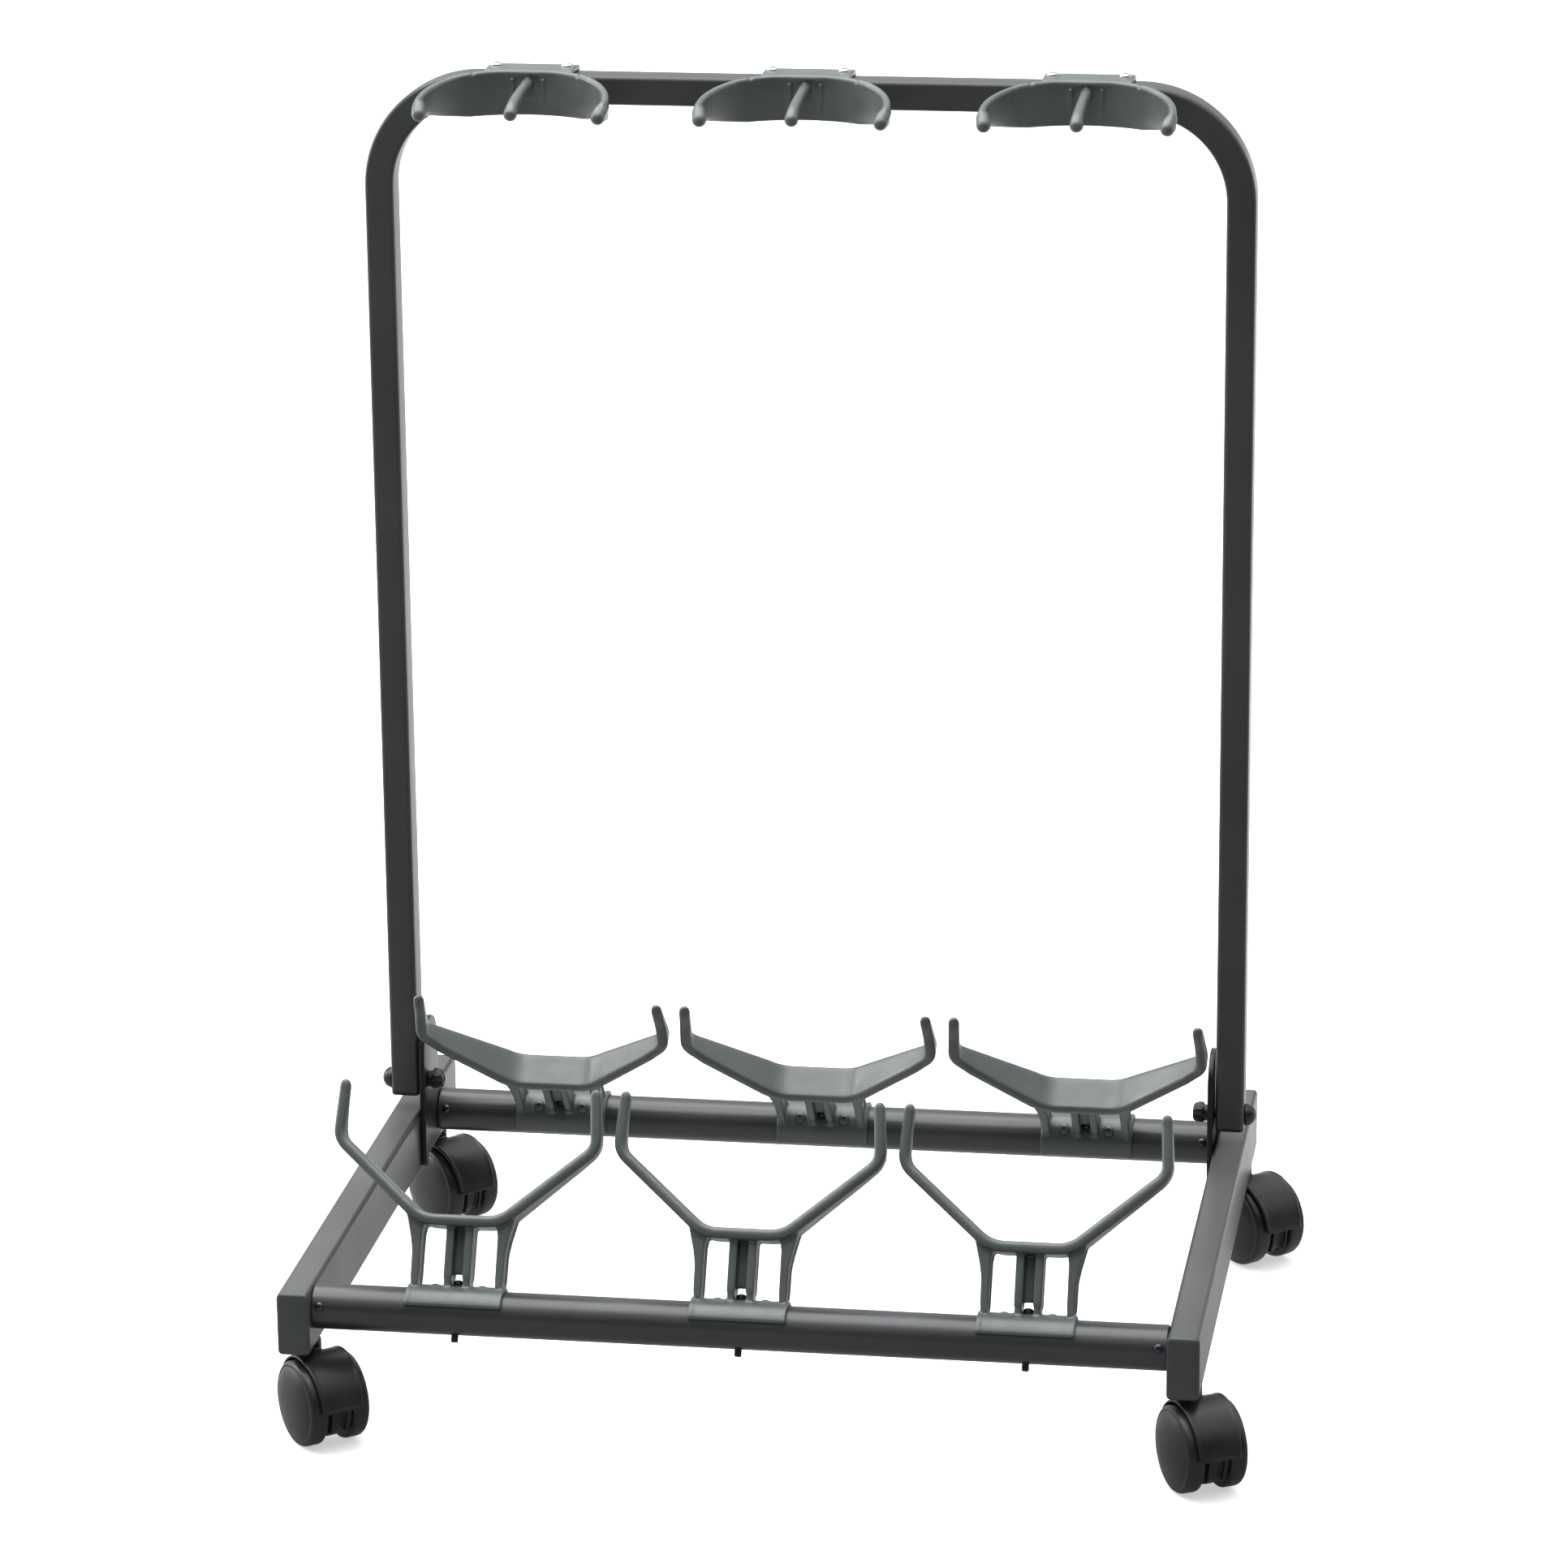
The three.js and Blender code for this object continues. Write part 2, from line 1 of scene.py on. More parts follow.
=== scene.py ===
# Guitar rack on casters. Two rails run front to back and are joined by two cross tubes, which carry
# six padded-arm cradles. An upright hoop hinged near the rear carries three neck holders.
# x runs to the right from the symmetry plane, y to the rear from the rails' front faces, z up from
# the floor. Shapes are in millimetres and become metres when their mesh is made.
import bpy
import bmesh
import math
import numpy as np
from mathutils import Matrix, Vector


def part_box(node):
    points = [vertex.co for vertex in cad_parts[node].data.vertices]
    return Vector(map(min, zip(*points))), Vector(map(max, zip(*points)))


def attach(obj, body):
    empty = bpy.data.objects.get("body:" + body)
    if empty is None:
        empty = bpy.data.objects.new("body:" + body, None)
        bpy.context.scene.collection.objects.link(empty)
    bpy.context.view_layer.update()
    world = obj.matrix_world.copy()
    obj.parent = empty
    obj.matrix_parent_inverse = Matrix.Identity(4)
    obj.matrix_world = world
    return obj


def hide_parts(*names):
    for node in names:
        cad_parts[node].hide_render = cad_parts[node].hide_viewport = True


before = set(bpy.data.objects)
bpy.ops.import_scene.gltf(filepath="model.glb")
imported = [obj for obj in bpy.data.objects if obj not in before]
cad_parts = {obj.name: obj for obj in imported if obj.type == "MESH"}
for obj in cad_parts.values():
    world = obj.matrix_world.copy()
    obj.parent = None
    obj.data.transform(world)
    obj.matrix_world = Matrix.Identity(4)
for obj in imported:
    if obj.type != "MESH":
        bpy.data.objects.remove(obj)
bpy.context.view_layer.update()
MM = 0.001
pi = math.pi
SIDES = (("left", -1), ("right", 1))

# --------------------------------------------------------- driving sizes, mm
OUT_W = 525                               # over both rails
RAIL_W, RAIL_H, RAIL_WALL = 18.5, 37, 1.5
RAIL_R, RAIL_INNER_R = 2.6, 1.4           # section corners
RAIL_L, RAIL_Z = 411, 57                  # length over the end caps, underside height
RAIL_INSET = 1.9                          # cap face to the end of the tube
RAIL_X = OUT_W / 2 - RAIL_W / 2
RAIL_IN = OUT_W / 2 - RAIL_W              # inner face
TUBE_R, TUBE_WALL, TUBE_Z = 13, 1.5, 80.9
TUBE_Y = {"front": 18.4, "rear": 348.5}
HOOP_W, HOOP_TX, HOOP_TY, HOOP_WALL = 524, 17.2, 19.9, 1.4
HOOP_R, HOOP_INNER_R = 2.8, 1.6           # section corners
HOOP_Y, HOOP_TOP, HOOP_FOOT, HOOP_BEND = 315.1, 739, 103.9, 68
HOOP_X = HOOP_W / 2 - HOOP_TX / 2
PIVOT_Z, PLATE_T, KNOB_L = 112.5, 3.5, 9.2
FIT = 0.3                                 # clearance between neighbouring pieces
SEATS = {"left": -162, "middle": 1, "right": 164}
WHEEL_R, TRAIL = 25, 20.2                 # TRAIL: swivel axis to axle

_left, _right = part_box("rail_left"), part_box("rail_right")
ORIGIN_X = (_left[0].x + _right[1].x) / 2 / MM
ORIGIN_Y = _left[0].y / MM - RAIL_INSET


# ------------------------------------------------------------------ placement
def shift(x=0.0, y=0.0, z=0.0):
    return Matrix.Translation((x * MM, y * MM, z * MM))


def at(x=0.0, y=0.0, z=0.0):
    """shift from the rack's own origin"""
    return shift(x + ORIGIN_X, y + ORIGIN_Y, z)


def rot(degrees, axis):
    return Matrix.Rotation(math.radians(degrees), 4, axis)


# ------------------------------------------------- outlines and lines, in mm
def rounded_rect(width, height, radius, steps):
    """counter-clockwise points, steps chords to each corner"""
    a, b = width / 2 - radius, height / 2 - radius
    points = []
    for cx, cy, start in ((a, b, 0), (-a, b, 90), (-a, -b, 180), (a, -b, 270)):
        for i in range(steps + 1):
            t = math.radians(start + 90 * i / steps)
            points.append((cx + radius * math.cos(t), cy + radius * math.sin(t)))
    return np.array(points)


def corner_share(steps):
    """for each point of a rounded_rect: 1 at mid-corner, 0 where the flats begin"""
    return np.array([1 - abs(2 * i / steps - 1) for i in range(steps + 1)] * 4)


def inset_rect(width, height, radius, inset, shrink):
    """rounded_rect drawn in by inset; its corners lose shrink times as much"""
    corner = max(0.5, radius - inset * shrink)
    return rounded_rect(width - 2 * inset, height - 2 * inset, corner, 8)


def round_corners(corners, steps, closed=True):
    """outline through (u, v, radius) corners, steps chords to each rounded one"""
    points = [np.array(corner[:2], float) for corner in corners]
    count, out = len(points), []
    for i, point in enumerate(points):
        radius = corners[i][2]
        if radius <= 0 or (not closed and i in (0, count - 1)):
            out.append(point)
            continue
        back, ahead = points[i - 1] - point, points[(i + 1) % count] - point
        back_length, ahead_length = np.linalg.norm(back), np.linalg.norm(ahead)
        back, ahead = back / back_length, ahead / ahead_length
        half = math.acos(max(-1, min(1, float(back @ ahead)))) / 2
        radius = min(radius, 0.48 * min(back_length, ahead_length) * math.tan(half))
        reach = radius / math.tan(half)
        bisector = (back + ahead) / np.linalg.norm(back + ahead)
        centre = point + bisector * (radius / math.sin(half))
        start, end = point + back * reach - centre, point + ahead * reach - centre
        t0, t1 = math.atan2(start[1], start[0]), math.atan2(end[1], end[0])
        while t1 - t0 > pi:
            t1 -= 2 * pi
        while t1 - t0 < -pi:
            t1 += 2 * pi
        for k in range(steps + 1):
            t = t0 + (t1 - t0) * k / steps
            out.append(centre + radius * np.array((math.cos(t), math.sin(t))))
    return np.array(out)


def resample(line, step):
    """the line in equal steps of about the given length"""
    lengths = np.linalg.norm(np.diff(line, axis=0), axis=1)
    along = np.r_[0, np.cumsum(lengths)]
    t = np.linspace(0, along[-1], int(along[-1] / step) + 1)
    return np.c_[np.interp(t, along, line[:, 0]), np.interp(t, along, line[:, 1])]


def spline(points, count):
    """smooth line of count points through a few"""
    P = np.array(points, float)
    out = []
    for u in np.linspace(0, len(P) - 1, count):
        i = min(int(u), len(P) - 2)
        f = u - i
        p0, p1, p2, p3 = P[max(i - 1, 0)], P[i], P[i + 1], P[min(i + 2, len(P) - 1)]
        out.append(0.5 * ((2 * p1) + (-p0 + p2) * f + (2 * p0 - 5 * p1 + 4 * p2 - p3) * f ** 2
                          + (-p0 + 3 * p1 - 3 * p2 + p3) * f ** 3))
    return np.array(out)


def directions(line):
    """unit tangent at each point"""
    tangents = np.gradient(line, axis=0)
    tangents /= np.linalg.norm(tangents, axis=1)[:, None]
    return tangents


# --------------------------------- solids: a part is a (vertices, faces) pair
def loft(rings, closed=False):
    """skin over the rings, capped unless it closes on itself"""
    n, m = len(rings[0]), len(rings)
    vertices = [tuple(v) for ring in rings for v in ring]
    faces = []
    for i in range(m if closed else m - 1):
        a, b = i * n, ((i + 1) % m) * n
        for j in range(n):
            k = (j + 1) % n
            faces.append((a + j, a + k, b + k, b + j))
    if not closed:
        faces.append(tuple(reversed(range(n))))
        faces.append(tuple((m - 1) * n + j for j in range(n)))
    return vertices, faces


def prism_x(outline, x0, x1):
    """(y, z) outline drawn from x0 to x1"""
    return loft([[(x, y, z) for y, z in outline] for x in (x0, x1)])


def prism_y(outline, y0, y1):
    """(x, z) outline drawn from y0 to y1"""
    return loft([[(x, y, z) for x, z in outline] for y in (y0, y1)])


def revolve(profile, n, closed=False):
    """profile of (z, radius) pairs turned about z in n steps"""
    vertices, faces, rows = [], [], []
    for z, r in profile:
        if r < 1e-6:
            rows.append([len(vertices)])
            vertices.append((0.0, 0.0, z))
        else:
            rows.append(list(range(len(vertices), len(vertices) + n)))
            vertices += [(r * math.cos(2 * pi * k / n), r * math.sin(2 * pi * k / n), z)
                         for k in range(n)]
    pairs = list(zip(rows, rows[1:])) + ([(rows[-1], rows[0])] if closed else [])
    for a, b in pairs:
        for k in range(n):
            q = (k + 1) % n
            if len(a) == 1:
                faces.append((a[0], b[q], b[k]))
            elif len(b) == 1:
                faces.append((a[k], a[q], b[0]))
            else:
                faces.append((a[k], a[q], b[q], b[k]))
    return vertices, faces


def rod(points, radii, n):
    """round rod through the points, with rounded ends"""
    points = np.array(points, float)
    tangents = directions(points)

    def ring(centre, tangent, radius):
        a = np.cross(tangent, (1.0, 0, 0) if abs(tangent[0]) < 0.8 else (0, 0, 1.0))
        a /= np.linalg.norm(a)
        b = np.cross(tangent, a)
        turns = [2 * pi * k / n for k in range(n)]
        return [tuple(centre + radius * (math.cos(t) * a + math.sin(t) * b)) for t in turns]

    def end_ring(i, sign, degrees):
        angle = math.radians(degrees)
        centre = points[i] + sign * tangents[i] * radii[i] * math.sin(angle)
        return ring(centre, tangents[i], radii[i] * math.cos(angle))

    latitudes = (22, 45, 66, 84)
    rings = [end_ring(0, -1, degrees) for degrees in reversed(latitudes)]
    rings += [ring(*station) for station in zip(points, tangents, radii)]
    rings += [end_ring(-1, 1, degrees) for degrees in latitudes]
    return loft(rings)


def moved(part, matrix):
    """part transformed by a matrix in millimetres"""
    vertices, faces = part
    m = np.array(matrix, float)
    return [tuple(v) for v in np.array(vertices, float) @ m[:3, :3].T + m[:3, 3]], faces


def laid_along_x(part, start, direction):
    """part with its z axis laid along x from start, and its x and y turned to y and z"""
    vertices, faces = part
    return [(start + direction * z, x, y) for x, y, z in vertices], faces


def join(parts):
    vertices, faces = [], []
    for v, f in parts:
        n = len(vertices)
        vertices += list(v)
        faces += [tuple(i + n for i in face) for face in f]
    return vertices, faces


# ----------------------------------------------------------- meshes, objects
def shade(me, sharp=None):
    """smooth shading, with edges sharp above an angle in degrees"""
    me.polygons.foreach_set("use_smooth", [True] * len(me.polygons))
    if sharp is not None:
        me.set_sharp_from_angle(angle=math.radians(sharp))


def mesh(name, part, sharp=32, bevel=0.0, edge=None):
    """edge: values of the point attribute that marks the rounded corners where the paint adds
    painted shade
    """
    vertices, faces = part
    me = bpy.data.meshes.new(name)
    me.from_pydata([tuple(c * MM for c in v) for v in vertices], [], [list(f) for f in faces])
    me.update()
    if edge is not None:
        attribute = me.attributes.new("edge", "FLOAT", "POINT")
        attribute.data.foreach_set("value", np.asarray(edge, np.float32))
    bm = bmesh.new()
    bm.from_mesh(me)
    bmesh.ops.recalc_face_normals(bm, faces=bm.faces)
    if bevel > 0:
        edges = [e for e in bm.edges
                 if len(e.link_faces) == 2 and e.calc_face_angle(0) > math.radians(40)]
        bmesh.ops.bevel(bm, geom=edges, offset=bevel * MM, segments=3, profile=0.5,
                        affect="EDGES", clamp_overlap=True)
        bmesh.ops.recalc_face_normals(bm, faces=bm.faces)
    bm.to_mesh(me)
    bm.free()
    shade(me, sharp)
    me.update()
    return me


def link_object(name, data):
    ob = bpy.data.objects.new(name, data)
    bpy.context.scene.collection.objects.link(ob)
    return ob


def baked(me, add_modifiers):
    """mesh after the modifiers that add_modifiers gives it"""
    ob = link_object("_bake", me)
    add_modifiers(ob)
    bpy.context.view_layer.update()
    depsgraph = bpy.context.evaluated_depsgraph_get()
    out = bpy.data.meshes.new_from_object(ob.evaluated_get(depsgraph), depsgraph=depsgraph)
    bpy.data.objects.remove(ob)
    return out


def moulded(name, parts, voxel, rounds):
    """one skin round overlapping closed parts, with soft inner corners"""
    def add_modifiers(ob):
        remesh = ob.modifiers.new("r", "REMESH")
        remesh.mode, remesh.voxel_size, remesh.use_smooth_shade = "VOXEL", voxel * MM, True
        smooth = ob.modifiers.new("s", "SMOOTH")
        smooth.factor, smooth.iterations = 0.5, rounds

    out = baked(mesh(name + "_src", join(parts), sharp=180), add_modifiers)
    out.name = name
    shade(out)
    return out


def cutout(me, tool):
    """me less a closed tool part"""
    cutter = link_object("_tool", mesh("_tool", tool))

    def add_modifiers(ob):
        boolean = ob.modifiers.new("b", "BOOLEAN")
        boolean.operation, boolean.solver, boolean.object = "DIFFERENCE", "EXACT", cutter

    out = baked(me, add_modifiers)
    bpy.data.objects.remove(cutter)
    shade(out, 32)
    return out


def put(name, me, world, material, body, slot, *nodes):
    """object that rides a body of the frame and stands in for the named nodes"""
    ob = link_object(name, me)
    ob.matrix_world = world
    if not me.materials:
        me.materials.append(material)
    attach(ob, body)
    if nodes:
        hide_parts(*nodes)


# ------------------------------------------------------------------ materials
def srgb(code):
    c = [int(code[i:i + 2], 16) / 255 for i in (0, 2, 4)]
    return tuple(x / 12.92 if x <= 0.04045 else ((x + 0.055) / 1.055) ** 2.4 for x in c) + (1.0,)


def tint(colour, gain, lift=0.0):
    return tuple(min(1, x * gain + lift) for x in colour[:3]) + (1,)


class Graph:
    """a node tree; inputs take either a value or the socket to link from"""

    def __init__(self, tree):
        self.tree = tree

    def feed(self, socket, value):
        if isinstance(value, bpy.types.NodeSocket):
            self.tree.links.new(value, socket)
        else:
            socket.default_value = value

    def set(self, node, inputs):
        for key, value in inputs.items():
            self.feed(node.inputs[key], value)

    def add(self, kind, inputs={}, **properties):
        node = self.tree.nodes.new(kind)
        for key, value in properties.items():
            setattr(node, key, value)
        self.set(node, inputs)
        return node

    def ramp(self, value, source, target=(0, 1)):
        """value eased from one range to another"""
        inputs = {"From Min": source[0], "From Max": source[1],
                  "To Min": target[0], "To Max": target[1], "Value": value}
        return self.add("ShaderNodeMapRange", inputs, interpolation_type="SMOOTHSTEP").outputs[0]

    def math(self, operation, a, b):
        return self.add("ShaderNodeMath", {0: a, 1: b}, operation=operation).outputs[0]

    def camera_switch(self, unseen, seen, output):
        """one shader for camera rays, another for all the rest"""
        path = self.add("ShaderNodeLightPath")
        inputs = {0: path.outputs["Is Camera Ray"], 1: unseen.outputs[0], 2: seen.outputs[0]}
        self.feed(output.inputs["Surface"], self.add("ShaderNodeMixShader", inputs).outputs[0])


class Surface(Graph):
    """a principled material textured in object space, shifted for each object"""

    def __init__(self, name):
        self.material = bpy.data.materials.new(name)
        self.material.use_nodes = True
        super().__init__(self.material.node_tree)
        self.principled = self.tree.nodes["Principled BSDF"]
        coordinates = self.add("ShaderNodeTexCoord")
        info = self.add("ShaderNodeObjectInfo")
        offset = self.add("ShaderNodeVectorMath",
                          {0: (0.37, 0.61, 0.83), "Scale": info.outputs["Random"]},
                          operation="SCALE")
        place = self.add("ShaderNodeVectorMath",
                         {0: coordinates.outputs["Object"], 1: offset.outputs[0]},
                         operation="ADD")
        self.place = place.outputs[0]

    def noise(self, scale, detail, rough=0.55, stretch=None):
        vector = self.place
        if stretch:
            mapping = self.add("ShaderNodeMapping", {"Scale": stretch, "Vector": self.place})
            vector = mapping.outputs[0]
        inputs = {"Scale": scale, "Detail": detail, "Roughness": rough, "Vector": vector}
        return self.add("ShaderNodeTexNoise", inputs).outputs["Fac"]

    def mix(self, factor, a, b):
        return self.add("ShaderNodeMix", {0: factor, 6: a, 7: b}, data_type="RGBA").outputs[2]

    def bump(self, layers):
        """layers of (height, strength, distance in mm)"""
        inputs = {}
        for height, strength, distance in layers:
            inputs.update({"Strength": strength, "Distance": distance * MM, "Height": height})
            inputs = {"Normal": self.add("ShaderNodeBump", inputs).outputs[0]}
        self.set(self.principled, inputs)


def enamel(name, colour, rough, specular, corner_shade_colour=None):
    """powder-coated steel: orange peel, faint clouds, fine specks and a few scuffs, plus painted
    shade in a given colour along the rounded corners that the edge attribute marks
    """
    s = Surface(name)
    base = srgb(colour)
    cloud = s.ramp(s.noise(scale=9, detail=4), source=(0.2, 0.8))
    mixed = s.mix(cloud, tint(base, gain=0.86), tint(base, gain=1.16, lift=0.002))
    fleck = s.ramp(s.noise(scale=2600, detail=2), source=(0.62, 0.72), target=(0, 0.22))
    mixed = s.mix(fleck, mixed, tint(base, gain=1.9, lift=0.01))
    # painted shade: darkens the rounded corners marked by the edge attribute towards a near-black
    # colour
    if corner_shade_colour:
        corner_shade = s.add("ShaderNodeAttribute", attribute_name="edge").outputs["Fac"]
        corner_shade_amount = 0.9
        mixed = s.mix(s.math("MULTIPLY", corner_shade, corner_shade_amount), mixed, srgb(corner_shade_colour))
    scuff = s.ramp(s.noise(scale=150, detail=6, rough=0.7, stretch=(1.0, 0.15, 1.0)),
                   source=(0.64, 0.76), target=(0, 0.04))
    sheen = s.ramp(s.noise(scale=14, detail=4),
                   source=(0.15, 0.85), target=(rough - 0.03, rough + 0.03))
    s.set(s.principled, {"Base Color": mixed, "Roughness": s.math("ADD", sheen, scuff),
                         "Specular IOR Level": specular,
                         "Coat Weight": 0.0, "Coat Roughness": 0.25})
    s.bump([(s.noise(scale=720, detail=2), 0.16, 0.05),
            (s.noise(scale=2400, detail=2), 0.10, 0.02)])
    return s.material


def plastic(name, colour, rough, specular, grain=1.0):
    """moulded plastic: spark-eroded grain, soft flow clouds and rubbed patches"""
    s = Surface(name)
    base = srgb(colour)
    flow = s.ramp(s.noise(scale=26, detail=5, rough=0.6, stretch=(1.0, 2.2, 0.8)),
                  source=(0.2, 0.8))
    mixed = s.mix(flow, tint(base, gain=0.84), tint(base, gain=1.17, lift=0.003))
    cells = s.add("ShaderNodeTexVoronoi", {"Scale": 1500, "Vector": s.place}, feature="F1")
    rub = s.ramp(s.noise(scale=45, detail=6, rough=0.65),
                 source=(0.35, 0.7), target=(rough + 0.05, rough - 0.08))
    s.set(s.principled, {"Base Color": mixed, "Roughness": rub, "Specular IOR Level": specular})
    s.bump([(s.noise(scale=140, detail=3), 0.05 * grain, 0.08),
            (cells.outputs["Distance"], 0.14 * grain, 0.03),
            (s.noise(scale=3200, detail=2), 0.10 * grain, 0.02)])
    return s.material


def steel(name, colour, rough):
    """plated steel: turned grain and slight blue-yellow clouding"""
    s = Surface(name)
    base = srgb(colour)
    # gains of red, green, blue and alpha in the cool and the warm clouds
    cool, warm = (tuple(min(1, x * gain) for x, gain in zip(base, gains))
                  for gains in ((0.9, 0.92, 0.97, 1), (1.06, 1.02, 0.95, 1)))
    mixed = s.mix(s.ramp(s.noise(scale=180, detail=4), source=(0.35, 0.65)), cool, warm)
    turned = s.ramp(s.noise(scale=900, detail=4, rough=0.6, stretch=(1, 1, 6)),
                    source=(0.3, 0.7), target=(rough - 0.06, rough + 0.1))
    s.set(s.principled, {"Base Color": mixed, "Metallic": 1.0, "Roughness": turned})
    s.bump([(s.noise(scale=1600, detail=3, rough=0.6, stretch=(1, 1, 7)), 0.12, 0.02)])
    return s.material


# the rails' paint gets painted shade, 101011, along their upper rounded corners
RAIL_PAINT = enamel("rail_paint", "444546", rough=0.34, specular=0.4, corner_shade_colour="101011")
TUBE_PAINT = enamel("tube_paint", "292b2d", rough=0.325, specular=0.5)
HOOP_PAINT = enamel("upright_paint", "343536", rough=0.34, specular=0.3)
# the hinge plates' near-black colour is painted shade, standing in for the shadow they sit in at
# the tube ends and on their front edges
PLATE_SHADE_PAINT = enamel("plate_shade_paint", "111212", rough=0.38, specular=0.3)
GREY_PLASTIC = plastic("cradle_moulding", "414746", rough=0.385, specular=0.6)
CAP_PLASTIC = plastic("cap_moulding", "3b3e3e", rough=0.5, specular=0.35)
BLACK_PLASTIC = plastic("black_moulding", "1a1b1c", rough=0.385, specular=0.3, grain=0.8)
WHEEL_PLASTIC = plastic("wheel_moulding", "19191a", rough=0.385, specular=0.35, grain=0.7)
ZINC = steel("zinc_plate", "b4b7b9", rough=0.24)
BLACK_ZINC = steel("black_zinc", "4a4c4f", rough=0.34)
BLACK_STEEL = steel("blackened_steel", "3a3c3e", rough=0.37)


# ---------------------------------------------------------------------- rails
def rail():
    """box tube along y, its ends slightly drawn in; its upper corners are marked for painted shade
    """
    outer = rounded_rect(RAIL_W, RAIL_H, RAIL_R, 8)
    inner = rounded_rect(RAIL_W - 2 * RAIL_WALL, RAIL_H - 2 * RAIL_WALL, RAIL_INNER_R, 8)
    # mask of painted shade along the upper rounded corners
    corner_shade = np.sqrt(corner_share(8)) * (outer[:, 1] > 0)
    chamfer, draw_in = 0.35, 0.3
    y0, y1 = RAIL_INSET, RAIL_L - RAIL_INSET
    span = y1 - y0 - 2 * chamfer
    ys = [y0 + chamfer + span * i / 14 for i in range(15)]
    size = np.array([RAIL_W, RAIL_H])
    small = outer * ((size - 2 * draw_in) / size)
    stations = [(y0, small)] + [(y, outer) for y in ys] + [(y1, small), (y1, inner), (y0, inner)]
    rings = [[(x, y, z) for x, z in section] for y, section in stations]
    edge = np.concatenate([corner_shade] * (len(stations) - 2) + [corner_shade * 0] * 2)
    return mesh("rail", loft(rings, closed=True), edge=edge)


for side, sign in SIDES:
    put(f"rail_{side}_tube", rail(), at(sign * RAIL_X, 0, RAIL_Z + RAIL_H / 2), RAIL_PAINT,
        "root", "rail_enamel", f"rail_{side}")

# end cap along y: (inset, y) of a flange with a bevelled rim, then the plug in the tube
CAP_RINGS = [(4.5, 0.0), (1.7, 0.05), (0.9, 0.16), (0.35, 0.45), (0.05, 0.95), (0, 1.35),
             (0.05, 1.6), (1.9, 1.6), (2.0, 13.0)]
cap_mesh = mesh("rail_cap", loft([
    [(x, y, z) for x, z in inset_rect(RAIL_W, RAIL_H, RAIL_R, inset, shrink=0.7)]
    for inset, y in CAP_RINGS]))
for end, y, turn in (("front", 0, 0), ("rear", RAIL_L, 180)):
    for side, sign in SIDES:
        pose = at(sign * RAIL_X, y, RAIL_Z + RAIL_H / 2) @ rot(turn, "Z")
        put(f"end_cap_{end}_{side}", cap_mesh, pose, CAP_PLASTIC,
            "root", "cap_plastic", f"rail_cap_{end}_{side}")

# ---------------------------------------------------------------- cross tubes
# the rear tube stops at the hinge plates, the front one at the rails
TUBE_HALF = {"front": RAIL_IN - FIT, "rear": RAIL_IN - FIT - PLATE_T - FIT}


def cross_tube(half):
    """tube along x, with chamfered ends"""
    bore, chamfer = TUBE_R - TUBE_WALL, 0.35
    profile = [(-half, bore), (-half, TUBE_R - chamfer)]
    profile += [(-half + chamfer + (2 * half - 2 * chamfer) * i / 16, TUBE_R) for i in range(17)]
    profile += [(half, TUBE_R - chamfer), (half, bore)]
    return mesh("tube", moved(revolve(profile, 72, closed=True), rot(90, "Y")))


for end, half in TUBE_HALF.items():
    put(f"{end}_tube", cross_tube(half), at(0, TUBE_Y[end], TUBE_Z), TUBE_PAINT,
        "root", "tube_enamel", f"{end}_cross_tube")

# -------------------------------------------------------------------- cradles
# origin on the tube's axis, x along the tube, y towards the middle of the rack, z up the cradle
TILT = {"front": 27.3, "rear": -41.0}         # lean towards the middle, degrees
STRAP_Z, STRAP_T = 54.8, 6.7                  # top of the strap's flat, thickness
STRAP_B, STRAP_E = 11.6, 7.2                  # half width at the middle and on the arms
BEND_X, ARM_X, ARM_K, TIP_K = 21.7, 70.8, 42.9, 71.5   # the K are heights over the flat
WEB_TOP, WEB_BASE = STRAP_Z - STRAP_T + 2, 14.0
SADDLE_R, SADDLE_OUT, SADDLE_LIP = 12.85, 15.15, 0.45
SADDLE_HALF, SADDLE_ARC = 28, 84              # half length, half arc in degrees
SADDLE_SCREW_X = 13.6
SADDLE_SCREW_R = {"front": 13.9, "rear": 14.9}   # seat, from the tube's axis

# right half of the strap's top line: (x, z, corner radius)
STRAP_LINE = [(0, STRAP_Z, 0), (BEND_X, STRAP_Z, 19), (ARM_X + 0.6, STRAP_Z + ARM_K, 9),
              (ARM_X - 1.2, STRAP_Z + TIP_K, 0)]
# slanted rib on the right and the flange along its edges: (x, z, corner radius)
RIB = [(23.2, WEB_BASE, 0), (25.6, WEB_BASE, 0), (25.9, 19, 0), (26.1, 34, 8), (27.4, 42, 8),
       (31.0, WEB_TOP + 5.2, 0), (24, WEB_TOP + 1.0, 0), (21.4, WEB_TOP, 4), (22.8, 44, 6),
       (22.9, 19, 6)]
RIB_FLANGE = [(22.6, WEB_BASE, 0), (26.2, WEB_BASE, 0), (26.9, 19, 0), (27.0, 34, 8),
              (28.4, 42, 8), (31.8, WEB_TOP + 5.6, 0), (24, WEB_TOP + 1.0, 0),
              (20.8, WEB_TOP, 4), (21.9, 44, 6), (22.0, 19, 6)]


def strap_edges(x, k):
    """y of the strap's outer and inner edge, at plan x and height k over the flat"""
    half = np.interp(abs(x), [0, 28, 70, 90], [STRAP_B, STRAP_B, STRAP_E, STRAP_E - 0.1])
    inner = np.interp(k, [-9, ARM_K - 8, ARM_K + 2, ARM_K + 16, TIP_K - 2, TIP_K + 3.4],
                      [half, half, 5.6, 0.4, -1.0, -3.6])
    tip_half = 7.4
    return -(min(half, tip_half) if k > ARM_K else half), inner


